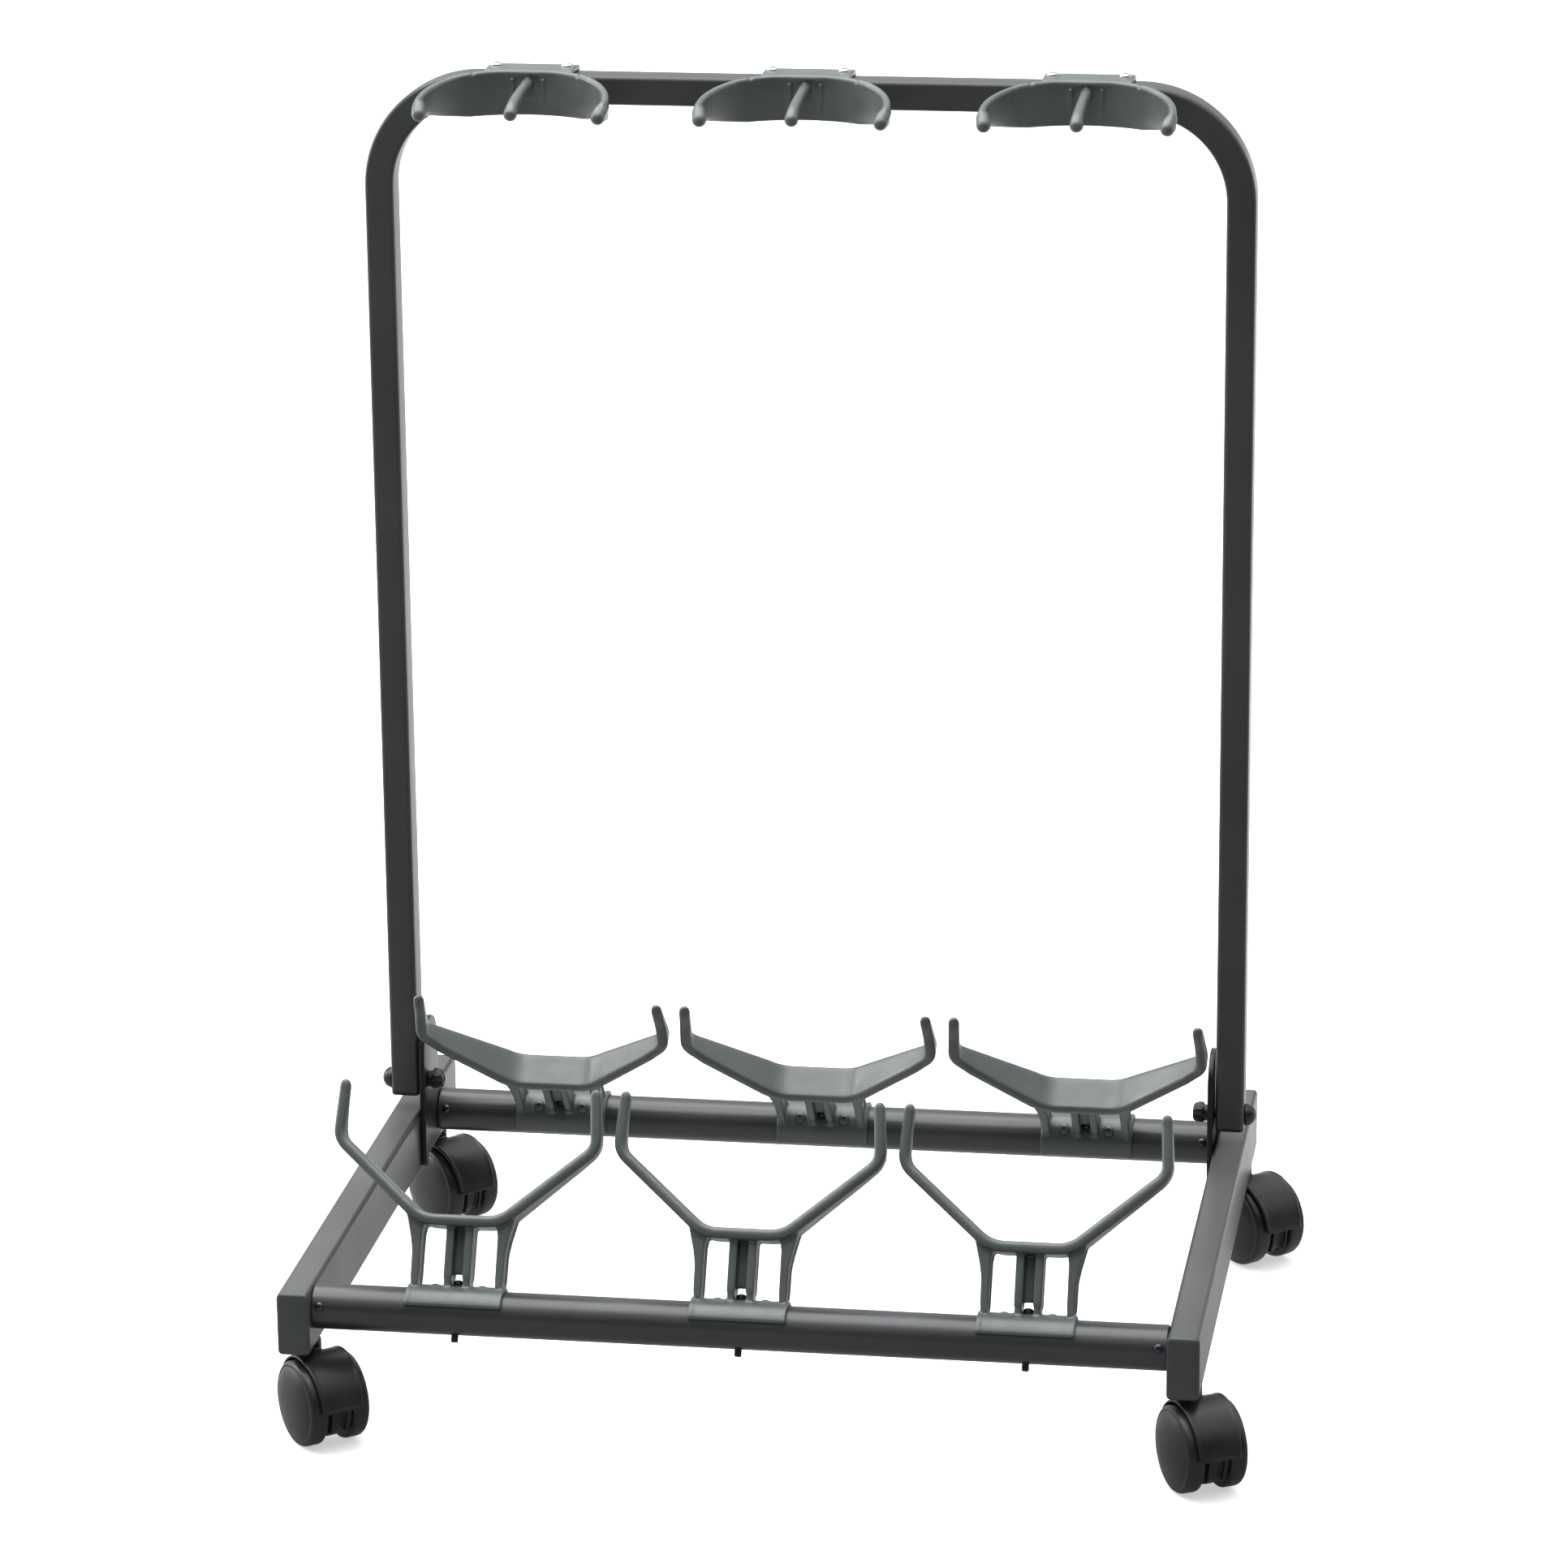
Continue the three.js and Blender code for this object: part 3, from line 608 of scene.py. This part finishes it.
def strap():
    """padded strap from the left tip, over the flat, to the right tip"""
    right = resample(round_corners(STRAP_LINE, 10, closed=False), 1.3)
    line = np.array([(-x, z) for x, z in right[::-1][:-1]] + [(x, z) for x, z in right])
    tangents = directions(line)

    def rounded_end(point, tangent, sign):
        angles = [math.radians(degrees) for degrees in (25, 45, 62, 76, 86)]
        return [(point + tangent * sign * (STRAP_T / 2) * math.sin(a) * 1.1, tangent, math.cos(a))
                for a in angles]

    # (point on the top line, tangent, share of the full thickness)
    stations = rounded_end(line[0], tangents[0], -1)[::-1]
    stations += [(point, tangent, 1.0) for point, tangent in zip(line, tangents)]
    stations += rounded_end(line[-1], tangents[-1], 1)
    rings = []
    for point, tangent, share in stations:
        normal = np.array((-tangent[1], tangent[0]))
        centre = point - normal * (STRAP_T / 2)
        outer, inner = strap_edges(point[0], point[1] - STRAP_Z)
        middle, half = (outer + inner) / 2, (inner - outer) / 2
        thick = STRAP_T * max(share, 0.08)
        section = rounded_rect(2 * half * (0.35 + 0.65 * share), thick,
                               min(2.75, half * 0.9, thick * 0.45), 5)
        rings.append([(centre[0] + normal[0] * w, middle + u, centre[1] + normal[1] * w)
                      for u, w in section])
    return loft(rings)


def half_pipe(outer, x0, x1):
    section = []
    for radius, order in ((outer, range(33)), (SADDLE_R, range(32, -1, -1))):
        for i in order:
            t = math.radians(90 - SADDLE_ARC + 2 * SADDLE_ARC * i / 32)
            section.append((radius * math.cos(t), radius * math.sin(t)))
    return prism_x(section, x0, x1)


def box_y(xs, zs, ys):
    """box spanning the (low, high) pairs"""
    return prism_y([(xs[0], zs[0]), (xs[1], zs[0]), (xs[1], zs[1]), (xs[0], zs[1])], *ys)


def cradle_parts():
    parts = [strap()]
    for s in (-1, 1):
        rib, flange = (round_corners([(s * x, z, r) for x, z, r in table], 4)
                       for table in (RIB, RIB_FLANGE))
        parts.append(prism_y(rib, -5.9, 5.9))
        parts.append(prism_y(flange, -7.6, -5.2))
        parts.append(prism_y(flange, 5.2, 7.6))
        # inner rib and the flanges on its two edges
        parts.append(box_y((s * 3.5, s * 7.4), (WEB_BASE, WEB_TOP), (-7.1, 7.1)))
        for ys in ((-7.4, -5.6), (5.6, 7.4)):
            parts.append(box_y((s * 3.0, s * 7.9), (19, WEB_TOP + 0.5), ys))
    # web between the inner ribs
    parts.append(box_y((-4.0, 4.0), (21.5, WEB_TOP), (-0.2, 3.4)))
    # half-pipe saddle with a raised lip at each end
    lip_out, lip_x = SADDLE_OUT + SADDLE_LIP, 25.6
    parts.append(half_pipe(SADDLE_OUT, -SADDLE_HALF, SADDLE_HALF))
    parts.append(half_pipe(lip_out, -SADDLE_HALF, -lip_x))
    parts.append(half_pipe(lip_out, lip_x, SADDLE_HALF))
    return parts


cradle_mesh = moulded("cradle", cradle_parts(), voxel=0.75, rounds=5)


# ---------------------------------------------------------------- cross-recess screws
def cross_tool(width, slot, z0, z1):
    """cross-shaped cutter, its arms three quarters as long at z0 as at z1"""
    def ring(scale, z):
        a, b = width / 2 * scale, slot / 2
        return [(x, y, z) for x, y in (
            (a, b), (b, b), (b, a), (-b, a), (-b, b), (-a, b),
            (-a, -b), (-b, -b), (-b, -a), (b, -a), (b, -b), (a, -b))]
    return loft([ring(0.75, z0), ring(1.0, z1)])


def screw(name, radius, height, cross, slot, depth, shank=None):
    """domed head along z with its seat at z = 0; shank is (radius, length)"""
    under = -0.3
    profile = [(under, 0)]
    if shank:
        shank_r, length = shank
        profile = [(-length, 0), (-length, shank_r * 0.7), (-length + 0.5, shank_r),
                   (under, shank_r)]
    profile += [(under, radius * 0.97), (0.15, radius)]
    # dome: (share of the height, share of the radius)
    profile += [(height * h, radius * r) for h, r in (
        (0.30, 0.985), (0.55, 0.90), (0.78, 0.70), (0.93, 0.42), (1, 0))]
    head = mesh(name, revolve(profile, 36))
    return cutout(head, cross_tool(cross, slot, height - depth, height + 1))


saddle_screw = screw("saddle_screw", radius=3.4, height=2.3, cross=3.4, slot=0.9, depth=1.5)
end_screw = screw("end_screw", radius=2.5, height=1.5, cross=2.6, slot=0.7, depth=1.0)
holder_screw = screw("holder_screw", radius=3.5, height=1.9, cross=3.6, slot=0.95, depth=1.3,
                     shank=(1.55, 12.0))

# cradle bolt through the tube, (z, radius): tip, threads, then shank and head
bolt_profile = [(-17.2, 0), (-17.2, 1.45), (-16.6, 2.1)]
THREAD_Z, THREAD_PITCH = -16.4, 0.7
for i in range(6):
    z = THREAD_Z + THREAD_PITCH * i
    bolt_profile += [(z, 2.25), (z + THREAD_PITCH / 2, 1.95)]
bolt_profile += [(-12.0, 2.2), (15.3, 2.2), (15.3, 3.0), (15.6, 3.05), (17.0, 3.05), (17.8, 2.4),
                 (18.3, 1.2), (18.3, 0)]
cradle_bolt = mesh("cradle_bolt", revolve(bolt_profile, 32))

for end in ("front", "rear"):
    turn = 180 if end == "rear" else 0
    for seat, x in SEATS.items():
        pose = at(x, TUBE_Y[end], TUBE_Z) @ rot(-TILT[end], "X") @ rot(turn, "Z")
        put(f"cradle_{end}_{seat}_moulding", cradle_mesh, pose, GREY_PLASTIC,
            "root", "cradle_plastic", f"cradle_{end}_{seat}")
        put(f"cradle_{end}_{seat}_bolt", cradle_bolt, pose, BLACK_ZINC,
            "root", "fastener_steel", f"cradle_bolt_{end}_{seat}")
        for letter, sign in (("a", -1), ("b", 1)):
            screw_pose = (pose @ shift(sign * SADDLE_SCREW_X) @ rot(-12, "X")
                          @ shift(z=SADDLE_SCREW_R[end]))
            put(f"cradle_{end}_{seat}_screw_{letter}", saddle_screw, screw_pose, GREY_PLASTIC,
                "root", "cradle_plastic")

# small screws near the tubes' ends, on their front
for end, x in (("front", 239.0), ("rear", 234.6)):
    for side, sign in SIDES:
        pose = at(sign * x, TUBE_Y[end], TUBE_Z) @ rot(70, "X") @ shift(z=12.9)
        put(f"tube_screw_{end}_{side}", end_screw, pose, BLACK_ZINC, "root", "fastener_steel")


# -------------------------------------------------------------------- upright
def hoop():
    """box tube bent into an upside-down U in the plane y = HOOP_Y"""
    top, bend = HOOP_TOP - HOOP_TX / 2, HOOP_BEND - HOOP_TX / 2
    foot = HOOP_FOOT + 2.4
    # (x, z, tangent x, tangent z) up the left leg and round its bend
    left = [(-HOOP_X, foot + (top - bend - foot) * i / 13, 0, 1) for i in range(13)]
    for i in range(25):
        a = math.radians(90 * i / 24)
        left.append((-HOOP_X + bend - bend * math.cos(a), top - bend + bend * math.sin(a),
                     math.sin(a), math.cos(a)))
    bar = [(-HOOP_X + bend + (2 * HOOP_X - 2 * bend) * i / 16, top, 1, 0) for i in range(1, 16)]
    line = left + bar + [(-x, z, tx, -tz) for x, z, tx, tz in reversed(left)]
    outer = rounded_rect(HOOP_TY, HOOP_TX, HOOP_R, 8)
    inner = rounded_rect(HOOP_TY - 2 * HOOP_WALL, HOOP_TX - 2 * HOOP_WALL, HOOP_INNER_R, 8)
    rings = [[(x - tz * v, HOOP_Y + u, z + tx * v) for u, v in section]
             for stations, section in ((line, outer), (line[::-1], inner))
             for x, z, tx, tz in stations]
    # mask of painted shade along the rounded corners; the upright's paint does not use it
    corner_shade = corner_share(8)
    edge = np.concatenate([corner_shade] * len(line) + [corner_shade * 0] * len(line))
    return mesh("upright", loft(rings, closed=True), edge=edge)


put("upright_tube", hoop(), at(), HOOP_PAINT, "upright", "upright_enamel", "upright_frame")

# foot plug along z: (inset, z) of a rounded flange, then the stub in the tube
PLUG_RINGS = [(5, 0), (1.4, 0.04), (0.5, 0.3), (0.1, 0.9), (0, 1.5), (0.05, 2.35), (1.8, 2.35),
              (1.9, 5.0)]
plug_mesh = mesh("foot_plug", loft([
    [(x, y, z) for x, y in inset_rect(HOOP_TX, HOOP_TY, HOOP_R, inset, shrink=0.6)]
    for inset, z in PLUG_RINGS]))
for side, sign in SIDES:
    put(f"foot_plug_{side}", plug_mesh, at(sign * HOOP_X, HOOP_Y, HOOP_FOOT), BLACK_PLASTIC,
        "upright", "black_plastic", f"upright_foot_plug_{side}")

# ---------------------------------------------------------------------- hinge
PLATE_OUT = RAIL_IN - FIT                 # outer and inner face of the right plate
PLATE_IN = PLATE_OUT - PLATE_T
# (y, z, corner radius)
PLATE = [(303, 59, 2), (309.0, 59, 2), (310.0, 71.5, 4.5), (319, 71.5, 8), (333, 66.6, 12),
         (363, 66.6, 6), (368, 74, 8), (368, 92, 6), (362, 97, 4), (346, 97, 4), (343, 101, 6),
         (343, 150, 19.8), (303, 150, 19.8)]
PIVOT_R = 2.95
# head of the pivot bolt: (distance out from its seat, radius)
PIVOT_HEAD = [(0, 6.5), (0.25, 6.75), (1.3, 6.75), (1.55, 6.5), (2.6, 6.25), (4.0, 5.5),
              (5.2, 4.3), (6.1, 2.7), (6.5, 1.2), (6.6, 0)]
# lobed knob with a dished face: (z, mean radius, lobe height)
KNOB = [(0, 4.5, 0), (0.25, 5.0, 0), (2.2, 5.0, 0), (2.45, 5.3, 0.3), (2.7, 5.6, 0.75),
        (3.3, 5.8, 0.9), (5.6, 5.75, 0.9), (7.2, 5.35, 0.85), (8.3, 4.75, 0.7), (8.9, 4.1, 0.4),
        (KNOB_L, 3.3, 0.1), (9.1, 2.7, 0), (8.6, 2.5, 0), (8.5, 0.02, 0)]
KNOB_LOBES, KNOB_STEPS = 5, 80


def pivot_part():
    """bolt along z, with z as the distance from the symmetry plane"""
    seat, tip = HOOP_W / 2 + FIT, PLATE_IN - KNOB_L + 1.5
    profile = [(tip, 0), (tip, 2.3), (tip + 0.7, PIVOT_R), (seat, PIVOT_R)]
    return revolve(profile + [(seat + out, radius) for out, radius in PIVOT_HEAD], 40)


def knob_part():
    angles = [2 * pi * i / KNOB_STEPS for i in range(KNOB_STEPS)]
    rings = []
    for z, mean, lobe in KNOB:
        radii = [mean + lobe * math.cos(KNOB_LOBES * a) for a in angles]
        rings.append([(r * math.cos(a), r * math.sin(a), z) for r, a in zip(radii, angles)])
    return loft(rings)


for side, sign in SIDES:
    plate = prism_x(round_corners(PLATE, 10), sign * PLATE_IN, sign * PLATE_OUT)
    # hinge plates in near-black paint: painted shade
    put(f"hinge_bracket_{side}", mesh("plate", plate, bevel=0.55), at(), PLATE_SHADE_PAINT,
        "root", "plate_enamel", f"hinge_plate_{side}")
    pivot = laid_along_x(pivot_part(), 0, sign)
    put(f"pivot_screw_{side}", mesh("pivot", pivot, sharp=38), at(0, HOOP_Y, PIVOT_Z),
        BLACK_STEEL, "root", "fastener_steel", f"pivot_bolt_{side}")
    knob = laid_along_x(knob_part(), sign * (PLATE_IN - FIT), -sign)
    put(f"knob_{side}_moulding", mesh("knob", knob, sharp=40), at(0, HOOP_Y, PIVOT_Z),
        BLACK_PLASTIC, f"knob_{side}", "black_plastic", f"clamp_knob_{side}")

# --------------------------------------------------------------- neck holders
# x across, y back from the hoop bar's front face, z up from its top
HOLDER_R, HOLDER_T, HOLDER_SCREW_X = 53.9, 4.2, 21
HOLDER_Y = -HOLDER_R - 0.3                # centre of the arc
# clip over the bar: (y, z, corner radius)
CLIP = [(-3.3, -14, 1), (-0.3, -14, 0), (-0.3, 0.3, 0), (HOOP_TY + 0.3, 0.3, 0),
        (HOOP_TY + 0.3, -9, 0), (HOOP_TY + 2.9, -9, 1), (HOOP_TY + 2.9, 1.6, 2.4),
        (HOOP_TY + 0.6, 3.1, 1.6), (-1.4, 3.1, 1.6), (-3.3, 1.6, 2)]
# small web behind the middle prong: (y, z)
WEB = [(-1, 0), (-5.0, -2), (-3, -22), (-1, -22)]


def holder_top(y):
    return np.interp(y, [HOLDER_Y - 8, -40, -14, -0.3], [-6.4, -2.4, 1.9, 2.6])


def holder_bottom(y):
    return np.interp(y, [HOLDER_Y - 8, -40, -12, -0.3], [-15.4, -17.5, -23.2, -23.5])


def prong(points, shares, radii, count):
    """rod whose radius is given at shares of its length"""
    return rod(spline(points, count), np.interp(np.linspace(0, 1, count), shares, radii), 20)


def holder_parts():
    R, yc = HOLDER_R, HOLDER_Y
    # band round the arc, kept in front of the bar
    band = []
    for i in range(61):
        a = math.radians(-5 + 190 * i / 60)
        ca, sa = math.cos(a), math.sin(a)
        y = min(yc + R * sa, -0.3)
        top, bottom = holder_top(y), holder_bottom(y)
        band.append([((R + u) * ca, min(yc + (R + u) * sa, -0.3), (top + bottom) / 2 + w)
                     for u, w in rounded_rect(HOLDER_T, top - bottom, 1.9, 4)])
    parts = [loft(band)]
    # rolled rim along the upper edge
    rim = []
    for i in range(61):
        a = math.radians(-3 + 186 * i / 60)
        y = yc + (R + 0.1) * math.sin(a)
        rim.append(((R + 0.1) * math.cos(a), min(y, -2.6), holder_top(min(y, -0.3)) - 1.4))
    parts.append(rod(rim, [2.35] * len(rim), 14))
    # side tips, then the middle prong
    for s in (-1, 1):
        parts.append(prong([(s * (R - 0.1), yc + 6, -8.6), (s * (R - 0.3), yc, -8.8),
                            (s * (R - 1.0), yc - 5, -9.9), (s * (R - 1.8), yc - 9, -12.4)],
                           [0, 0.5, 1], [2.6, 3.9, 4.3], 12))
    parts.append(prong([(0, -2.5, -4.6), (0, -22, -5.4), (0, -42, -7.6), (0, -52, -9.8),
                        (0, -56.6, -12.6)], [0, 0.25, 0.75, 1], [3.6, 3.1, 3.6, 4.2], 24))
    parts.append(prism_x(round_corners(CLIP, 3), -26.2, 26.2))
    for s in (-1, 1):
        boss = revolve([(0, 0), (0, 5.0), (1.3, 5.0), (1.8, 4.5), (1.8, 0)], 28)
        parts.append(moved(boss, Matrix.Translation((s * HOLDER_SCREW_X, HOOP_TY / 2, 2.0))))
        parts.append(prism_x(WEB, s * 9 - 1, s * 9 + 1))
    return parts


holder_mesh = moulded("holder", holder_parts(), voxel=0.7, rounds=4)
for seat, x in SEATS.items():
    put(f"neck_holder_{seat}_moulding", holder_mesh, at(x, HOOP_Y - HOOP_TY / 2, HOOP_TOP),
        GREY_PLASTIC, "upright", "cradle_plastic", f"neck_holder_{seat}")
    for letter, sign in (("a", -1), ("b", 1)):
        put(f"neck_screw_{seat}_{letter}", holder_screw,
            at(x + sign * HOLDER_SCREW_X, HOOP_Y, HOOP_TOP + 3.7), ZINC,
            "upright", "fastener_steel", f"neck_holder_screw_{seat}_{letter}")

# -------------------------------------------------------------------- casters
# x along the axle, y from the axle towards the swivel axis, z up from the floor
# side, y of the swivel axis, heading in degrees
CASTERS = {"front_left": (-1, 32, 38), "front_right": (1, 32, 28.5),
           "rear_left": (-1, 382.5, 46.5), "rear_right": (1, 382.5, 41.5)}
# fender section: (share of the half width, radius from the axle)
FENDER = [(-1, 26.6), (-0.95, 26.0), (-0.9, 26.5), (0.9, 26.5), (0.95, 26.0), (1, 26.6),
          (0.975, 27.7), (0.9, 28.0), (0.86, 27.55), (-0.86, 27.55), (-0.9, 28.0),
          (-0.975, 27.7)]
# body between the wheels: (y, z, corner radius)
FORK_BODY = [(-26.9, 27.6, 1), (-16, 21, 6), (0, 25, 6), (26, 25, 2), (26.6, 34, 4),
             (21, 44, 8), (10, 51, 8), (0, 52.3, 8), (-10, 50.8, 8), (-20.6, 44, 8)]
# thin ribs under the fender, and ribs on the block between the wheels: (y, z)
FENDER_RIB = [(-26.8, 28), (-24.4, 26), (-22.4, 33), (-17.5, 40.5), (-9.2, 46.5), (0, 48.6),
              (0, 52), (-10, 50), (-20, 43)]
BLOCK_RIB = [(-24.6, 26), (-22.6, 15.5), (-20.2, 10.5), (-16.5, 10.5), (-16.5, 26)]
# swivel boss and the collar at its top: (z, radius)
BOSS = [(14, 0), (14, 6.6), (48, 6.6), (48, 0)]
COLLAR = [(44.5, 0), (44.5, 8.4), (54.6, 8.4), (55.6, 7.6), (55.6, 4.6), (52, 4.3), (52, 0)]
# wheel on the +x side, (x, radius): inner face, crowned tread, shoulder line, shallow dome
WHEEL = [(7.9, 0), (7.9, 3.2), (4.7, 3.2), (4.7, 6.4), (7.5, 6.4), (7.9, 6.8), (9.4, 7.2),
         (9.4, 18.6), (7.9, 19.2), (7.7, 19.6), (7.7, 23.3), (7.9, 24.1), (8.5, 24.75),
         (9.2, 25.0), (11.4, 25.0), (13.4, 25.0), (15.4, 24.98), (16.4, 24.8), (17.2, 24.4),
         (17.8, 23.85), (18.2, 23.2), (18.4, 22.6), (18.3, 22.25), (18.4, 21.95), (18.95, 21.0),
         (19.9, 18.9), (20.8, 16.1), (21.55, 12.8), (22.15, 9.1), (22.5, 5.4), (22.66, 2.2),
         (22.68, 0)]
# (z, radius)
STEM = [(25.2, 0), (25.2, 3.2), (25.9, 3.95), (55.9, 3.95), (56.05, 5.2), (56.7, 5.2),
        (56.75, 3.95), (70, 3.95), (70.2, 3.6), (71.4, 3.6), (71.6, 3.95), (74, 3.9),
        (75.3, 3.0), (75.3, 0)]
# (x, radius)
AXLE = [(-15.4, 0), (-15.4, 2.0), (-14.9, 2.5), (14.9, 2.5), (15.4, 2.0), (15.4, 0)]
HUB = [(-3.4, 0), (-3.4, 20.6), (-2.5, 21.7), (2.5, 21.7), (3.4, 20.6), (3.4, 0)]


def hood_parts():
    # fender with turned-down sides, narrower at its trailing edge
    rings = []
    for i in range(49):
        degrees = 4 + 180 * i / 48
        a = math.radians(degrees)
        half = np.interp(math.degrees(a), [4, 40, 80, 184], [12.6, 13.8, 14.8, 14.8])
        rings.append([(u * half, -r * math.cos(a), WHEEL_R + r * math.sin(a)) for u, r in FENDER])
    parts = [loft(rings)]
    # lips along the trailing and leading edges
    for degrees, half in ((4.6, 11.9), (183, 14.0)):
        a = math.radians(degrees)
        y, z = -27.2 * math.cos(a), WHEEL_R + 27.2 * math.sin(a)
        parts.append(rod([(x, y, z) for x in np.linspace(-half, half, 9)], [1.15] * 9, 12))
    # disc and body between the wheels
    axle_pose = Matrix.Translation((0, 0, WHEEL_R)) @ rot(90, "Y")
    parts.append(moved(revolve(HUB, 64), axle_pose))
    parts.append(prism_x(round_corners(FORK_BODY, 3), -3.5, 3.5))
    for outline, centre, half in ((FENDER_RIB, 6.4, 0.75), (BLOCK_RIB, 4.6, 0.8)):
        for x in (-centre, centre):
            parts.append(prism_x(outline, x - half, x + half))
    swivel = Matrix.Translation((0, TRAIL, 0))
    parts.append(moved(revolve(BOSS, 40), swivel))
    parts.append(moved(revolve(COLLAR, 48), swivel))
    return parts


hood_mesh = moulded("hood", hood_parts(), voxel=0.6, rounds=3)
wheel_mesh = mesh("wheel", moved(revolve(WHEEL, 96), rot(90, "Y")), sharp=36)
stem_mesh = mesh("stem", revolve(STEM, 36))
axle_mesh = mesh("axle", moved(revolve(AXLE, 28), rot(90, "Y")))

for name, (sign, y, heading) in CASTERS.items():
    caster, swivel_body = f"caster_{name}", f"swivel_{name}"
    swivel = at(sign * RAIL_X, y, 0) @ rot(heading, "Z")
    fork = swivel @ shift(0, -TRAIL, 0)
    axle = fork @ shift(0, 0, WHEEL_R)
    put(f"{caster}_pin", stem_mesh, swivel, ZINC, "root", "fastener_steel", f"{caster}_stem")
    put(f"{caster}_fork", hood_mesh, fork, BLACK_PLASTIC,
        swivel_body, "black_plastic", f"{caster}_hood")
    put(f"{caster}_spindle", axle_mesh, axle, ZINC,
        swivel_body, "fastener_steel", f"{caster}_axle")
    for letter, pose in (("b", axle), ("a", axle @ rot(180, "Z"))):
        put(f"{caster}_disc_{letter}", wheel_mesh, pose, WHEEL_PLASTIC,
            f"wheel_{name}_{letter}", "wheel_plastic", f"{caster}_wheel_{letter}")


# ---------------------------------------------------------------------- floor
def floor_material():
    """pale to the camera; to other rays a dim floor that glows behind and to the left"""
    material = bpy.data.materials.new("floor")
    material.use_nodes = True
    g = Graph(material.node_tree)
    place = g.add("ShaderNodeTexCoord").outputs["Object"]
    distance = g.add("ShaderNodeVectorMath", {0: place}, operation="LENGTH").outputs["Value"]
    axes = g.add("ShaderNodeSeparateXYZ", {0: place}).outputs

    def matt(grey, glow):
        return {"Base Color": (grey, grey, grey, 1), "Roughness": 0.9, "Specular IOR Level": 0.1,
                "Emission Color": (1, 1, 1, 1), "Emission Strength": glow}

    # fades to white away from the rack, distances in metres
    seen = g.tree.nodes["Principled BSDF"]
    g.set(seen, matt(0.80, g.ramp(distance, source=(0.45, 1.5), target=(0.5, 1.0))))
    to_rear = g.ramp(axes["Y"], source=(-0.3, 1.1), target=(0.12, 1.45))
    to_left = g.ramp(axes["X"], source=(-1.2, 0.0), target=(0.2, 0.0))
    unseen = g.add("ShaderNodeBsdfPrincipled", matt(0.20, g.math("ADD", to_rear, to_left)))
    g.camera_switch(unseen, seen, g.tree.nodes["Material Output"])
    return material


FLOOR_HALF, FLOOR_Z = 30, -0.0005         # metres
floor_mesh = bpy.data.meshes.new("floor")
floor_mesh.from_pydata([(x * FLOOR_HALF, y * FLOOR_HALF, FLOOR_Z)
                        for x, y in ((-1, -1), (1, -1), (1, 1), (-1, 1))], [], [(0, 1, 2, 3)])
floor_mesh.materials.append(floor_material())
link_object("floor", floor_mesh)


# ---------------------------------------------------------------------- light
def studio():
    """white to the camera; lights the rack from above, behind and the left"""
    world = bpy.data.worlds.new("studio")
    bpy.context.scene.world = world
    world.use_nodes = True
    g = Graph(world.node_tree)
    g.tree.nodes.clear()
    output = g.add("ShaderNodeOutputWorld")
    direction = g.add("ShaderNodeTexCoord").outputs["Generated"]
    axes = g.add("ShaderNodeSeparateXYZ", {0: direction}).outputs
    # towards the rear, 35 degrees above the horizon
    axis = (0.0, math.cos(math.radians(35)), math.sin(math.radians(35)))
    lean = g.add("ShaderNodeVectorMath", {0: direction, 1: axis}, operation="DOT_PRODUCT")
    level = 0.06                          # everywhere
    for value, source, amount in ((lean.outputs["Value"], (-0.12, 0.3), 0.75),
                                  (axes["Z"], (0.35, 0.95), 1.2),
                                  (axes["X"], (-0.5, -0.95), 0.6)):
        level = g.math("ADD", level, g.ramp(value, source, target=(0, amount)))
    lit = g.add("ShaderNodeBackground", {"Strength": level, "Color": (0.97, 0.985, 1.0, 1)})
    seen = g.add("ShaderNodeBackground", {"Color": (1, 1, 1, 1), "Strength": 1.0})
    g.camera_switch(lit, seen, output)


def softbox(name, place, target, size, power):
    """rectangular light facing target; metres and watts"""
    light = bpy.data.lights.new(name, "AREA")
    light.shape = "RECTANGLE"
    light.size, light.size_y = size
    light.energy = power
    ob = link_object(name, light)
    ob.location = place
    facing = Vector(target) - Vector(place)
    ob.rotation_euler = facing.to_track_quat("-Z", "Y").to_euler()


studio()
softbox("top_box", place=(-0.55, 0.15, 2.2), target=(-0.1, 0.05, 0.2), size=(2.4, 2.4), power=78)
softbox("left_box", place=(-2.4, 0.5, 1.0), target=(0, 0, 0.15), size=(1.2, 1.4), power=34)
softbox("right_box", place=(2.5, 0.9, 1.1), target=(0, 0, 0.2), size=(1.2, 1.2), power=5)

# --------------------------------------------------------------------- camera
camera = bpy.data.cameras.new("camera")
camera.lens, camera.sensor_width, camera.sensor_fit = 138.228, 36.0, "HORIZONTAL"
camera.clip_start, camera.clip_end = 0.05, 100
camera_object = link_object("camera", camera)
# the camera's right, up and backward directions
CAMERA_AXES = Matrix(((0.98825612, 0.15252918, -0.0092031),
                      (-0.03590406, 0.29032419, 0.95625455),
                      (0.14852861, -0.94469398, 0.29239108)))
camera_pose = at(519.377, -3098.549, 1366.859) @ CAMERA_AXES.transposed().to_4x4()
camera_object.matrix_world = camera_pose
bpy.context.scene.camera = camera_object
view = bpy.context.scene.view_settings
view.view_transform = "Standard"
view.look = "None"
view.exposure = 0.0
view.gamma = 1.0
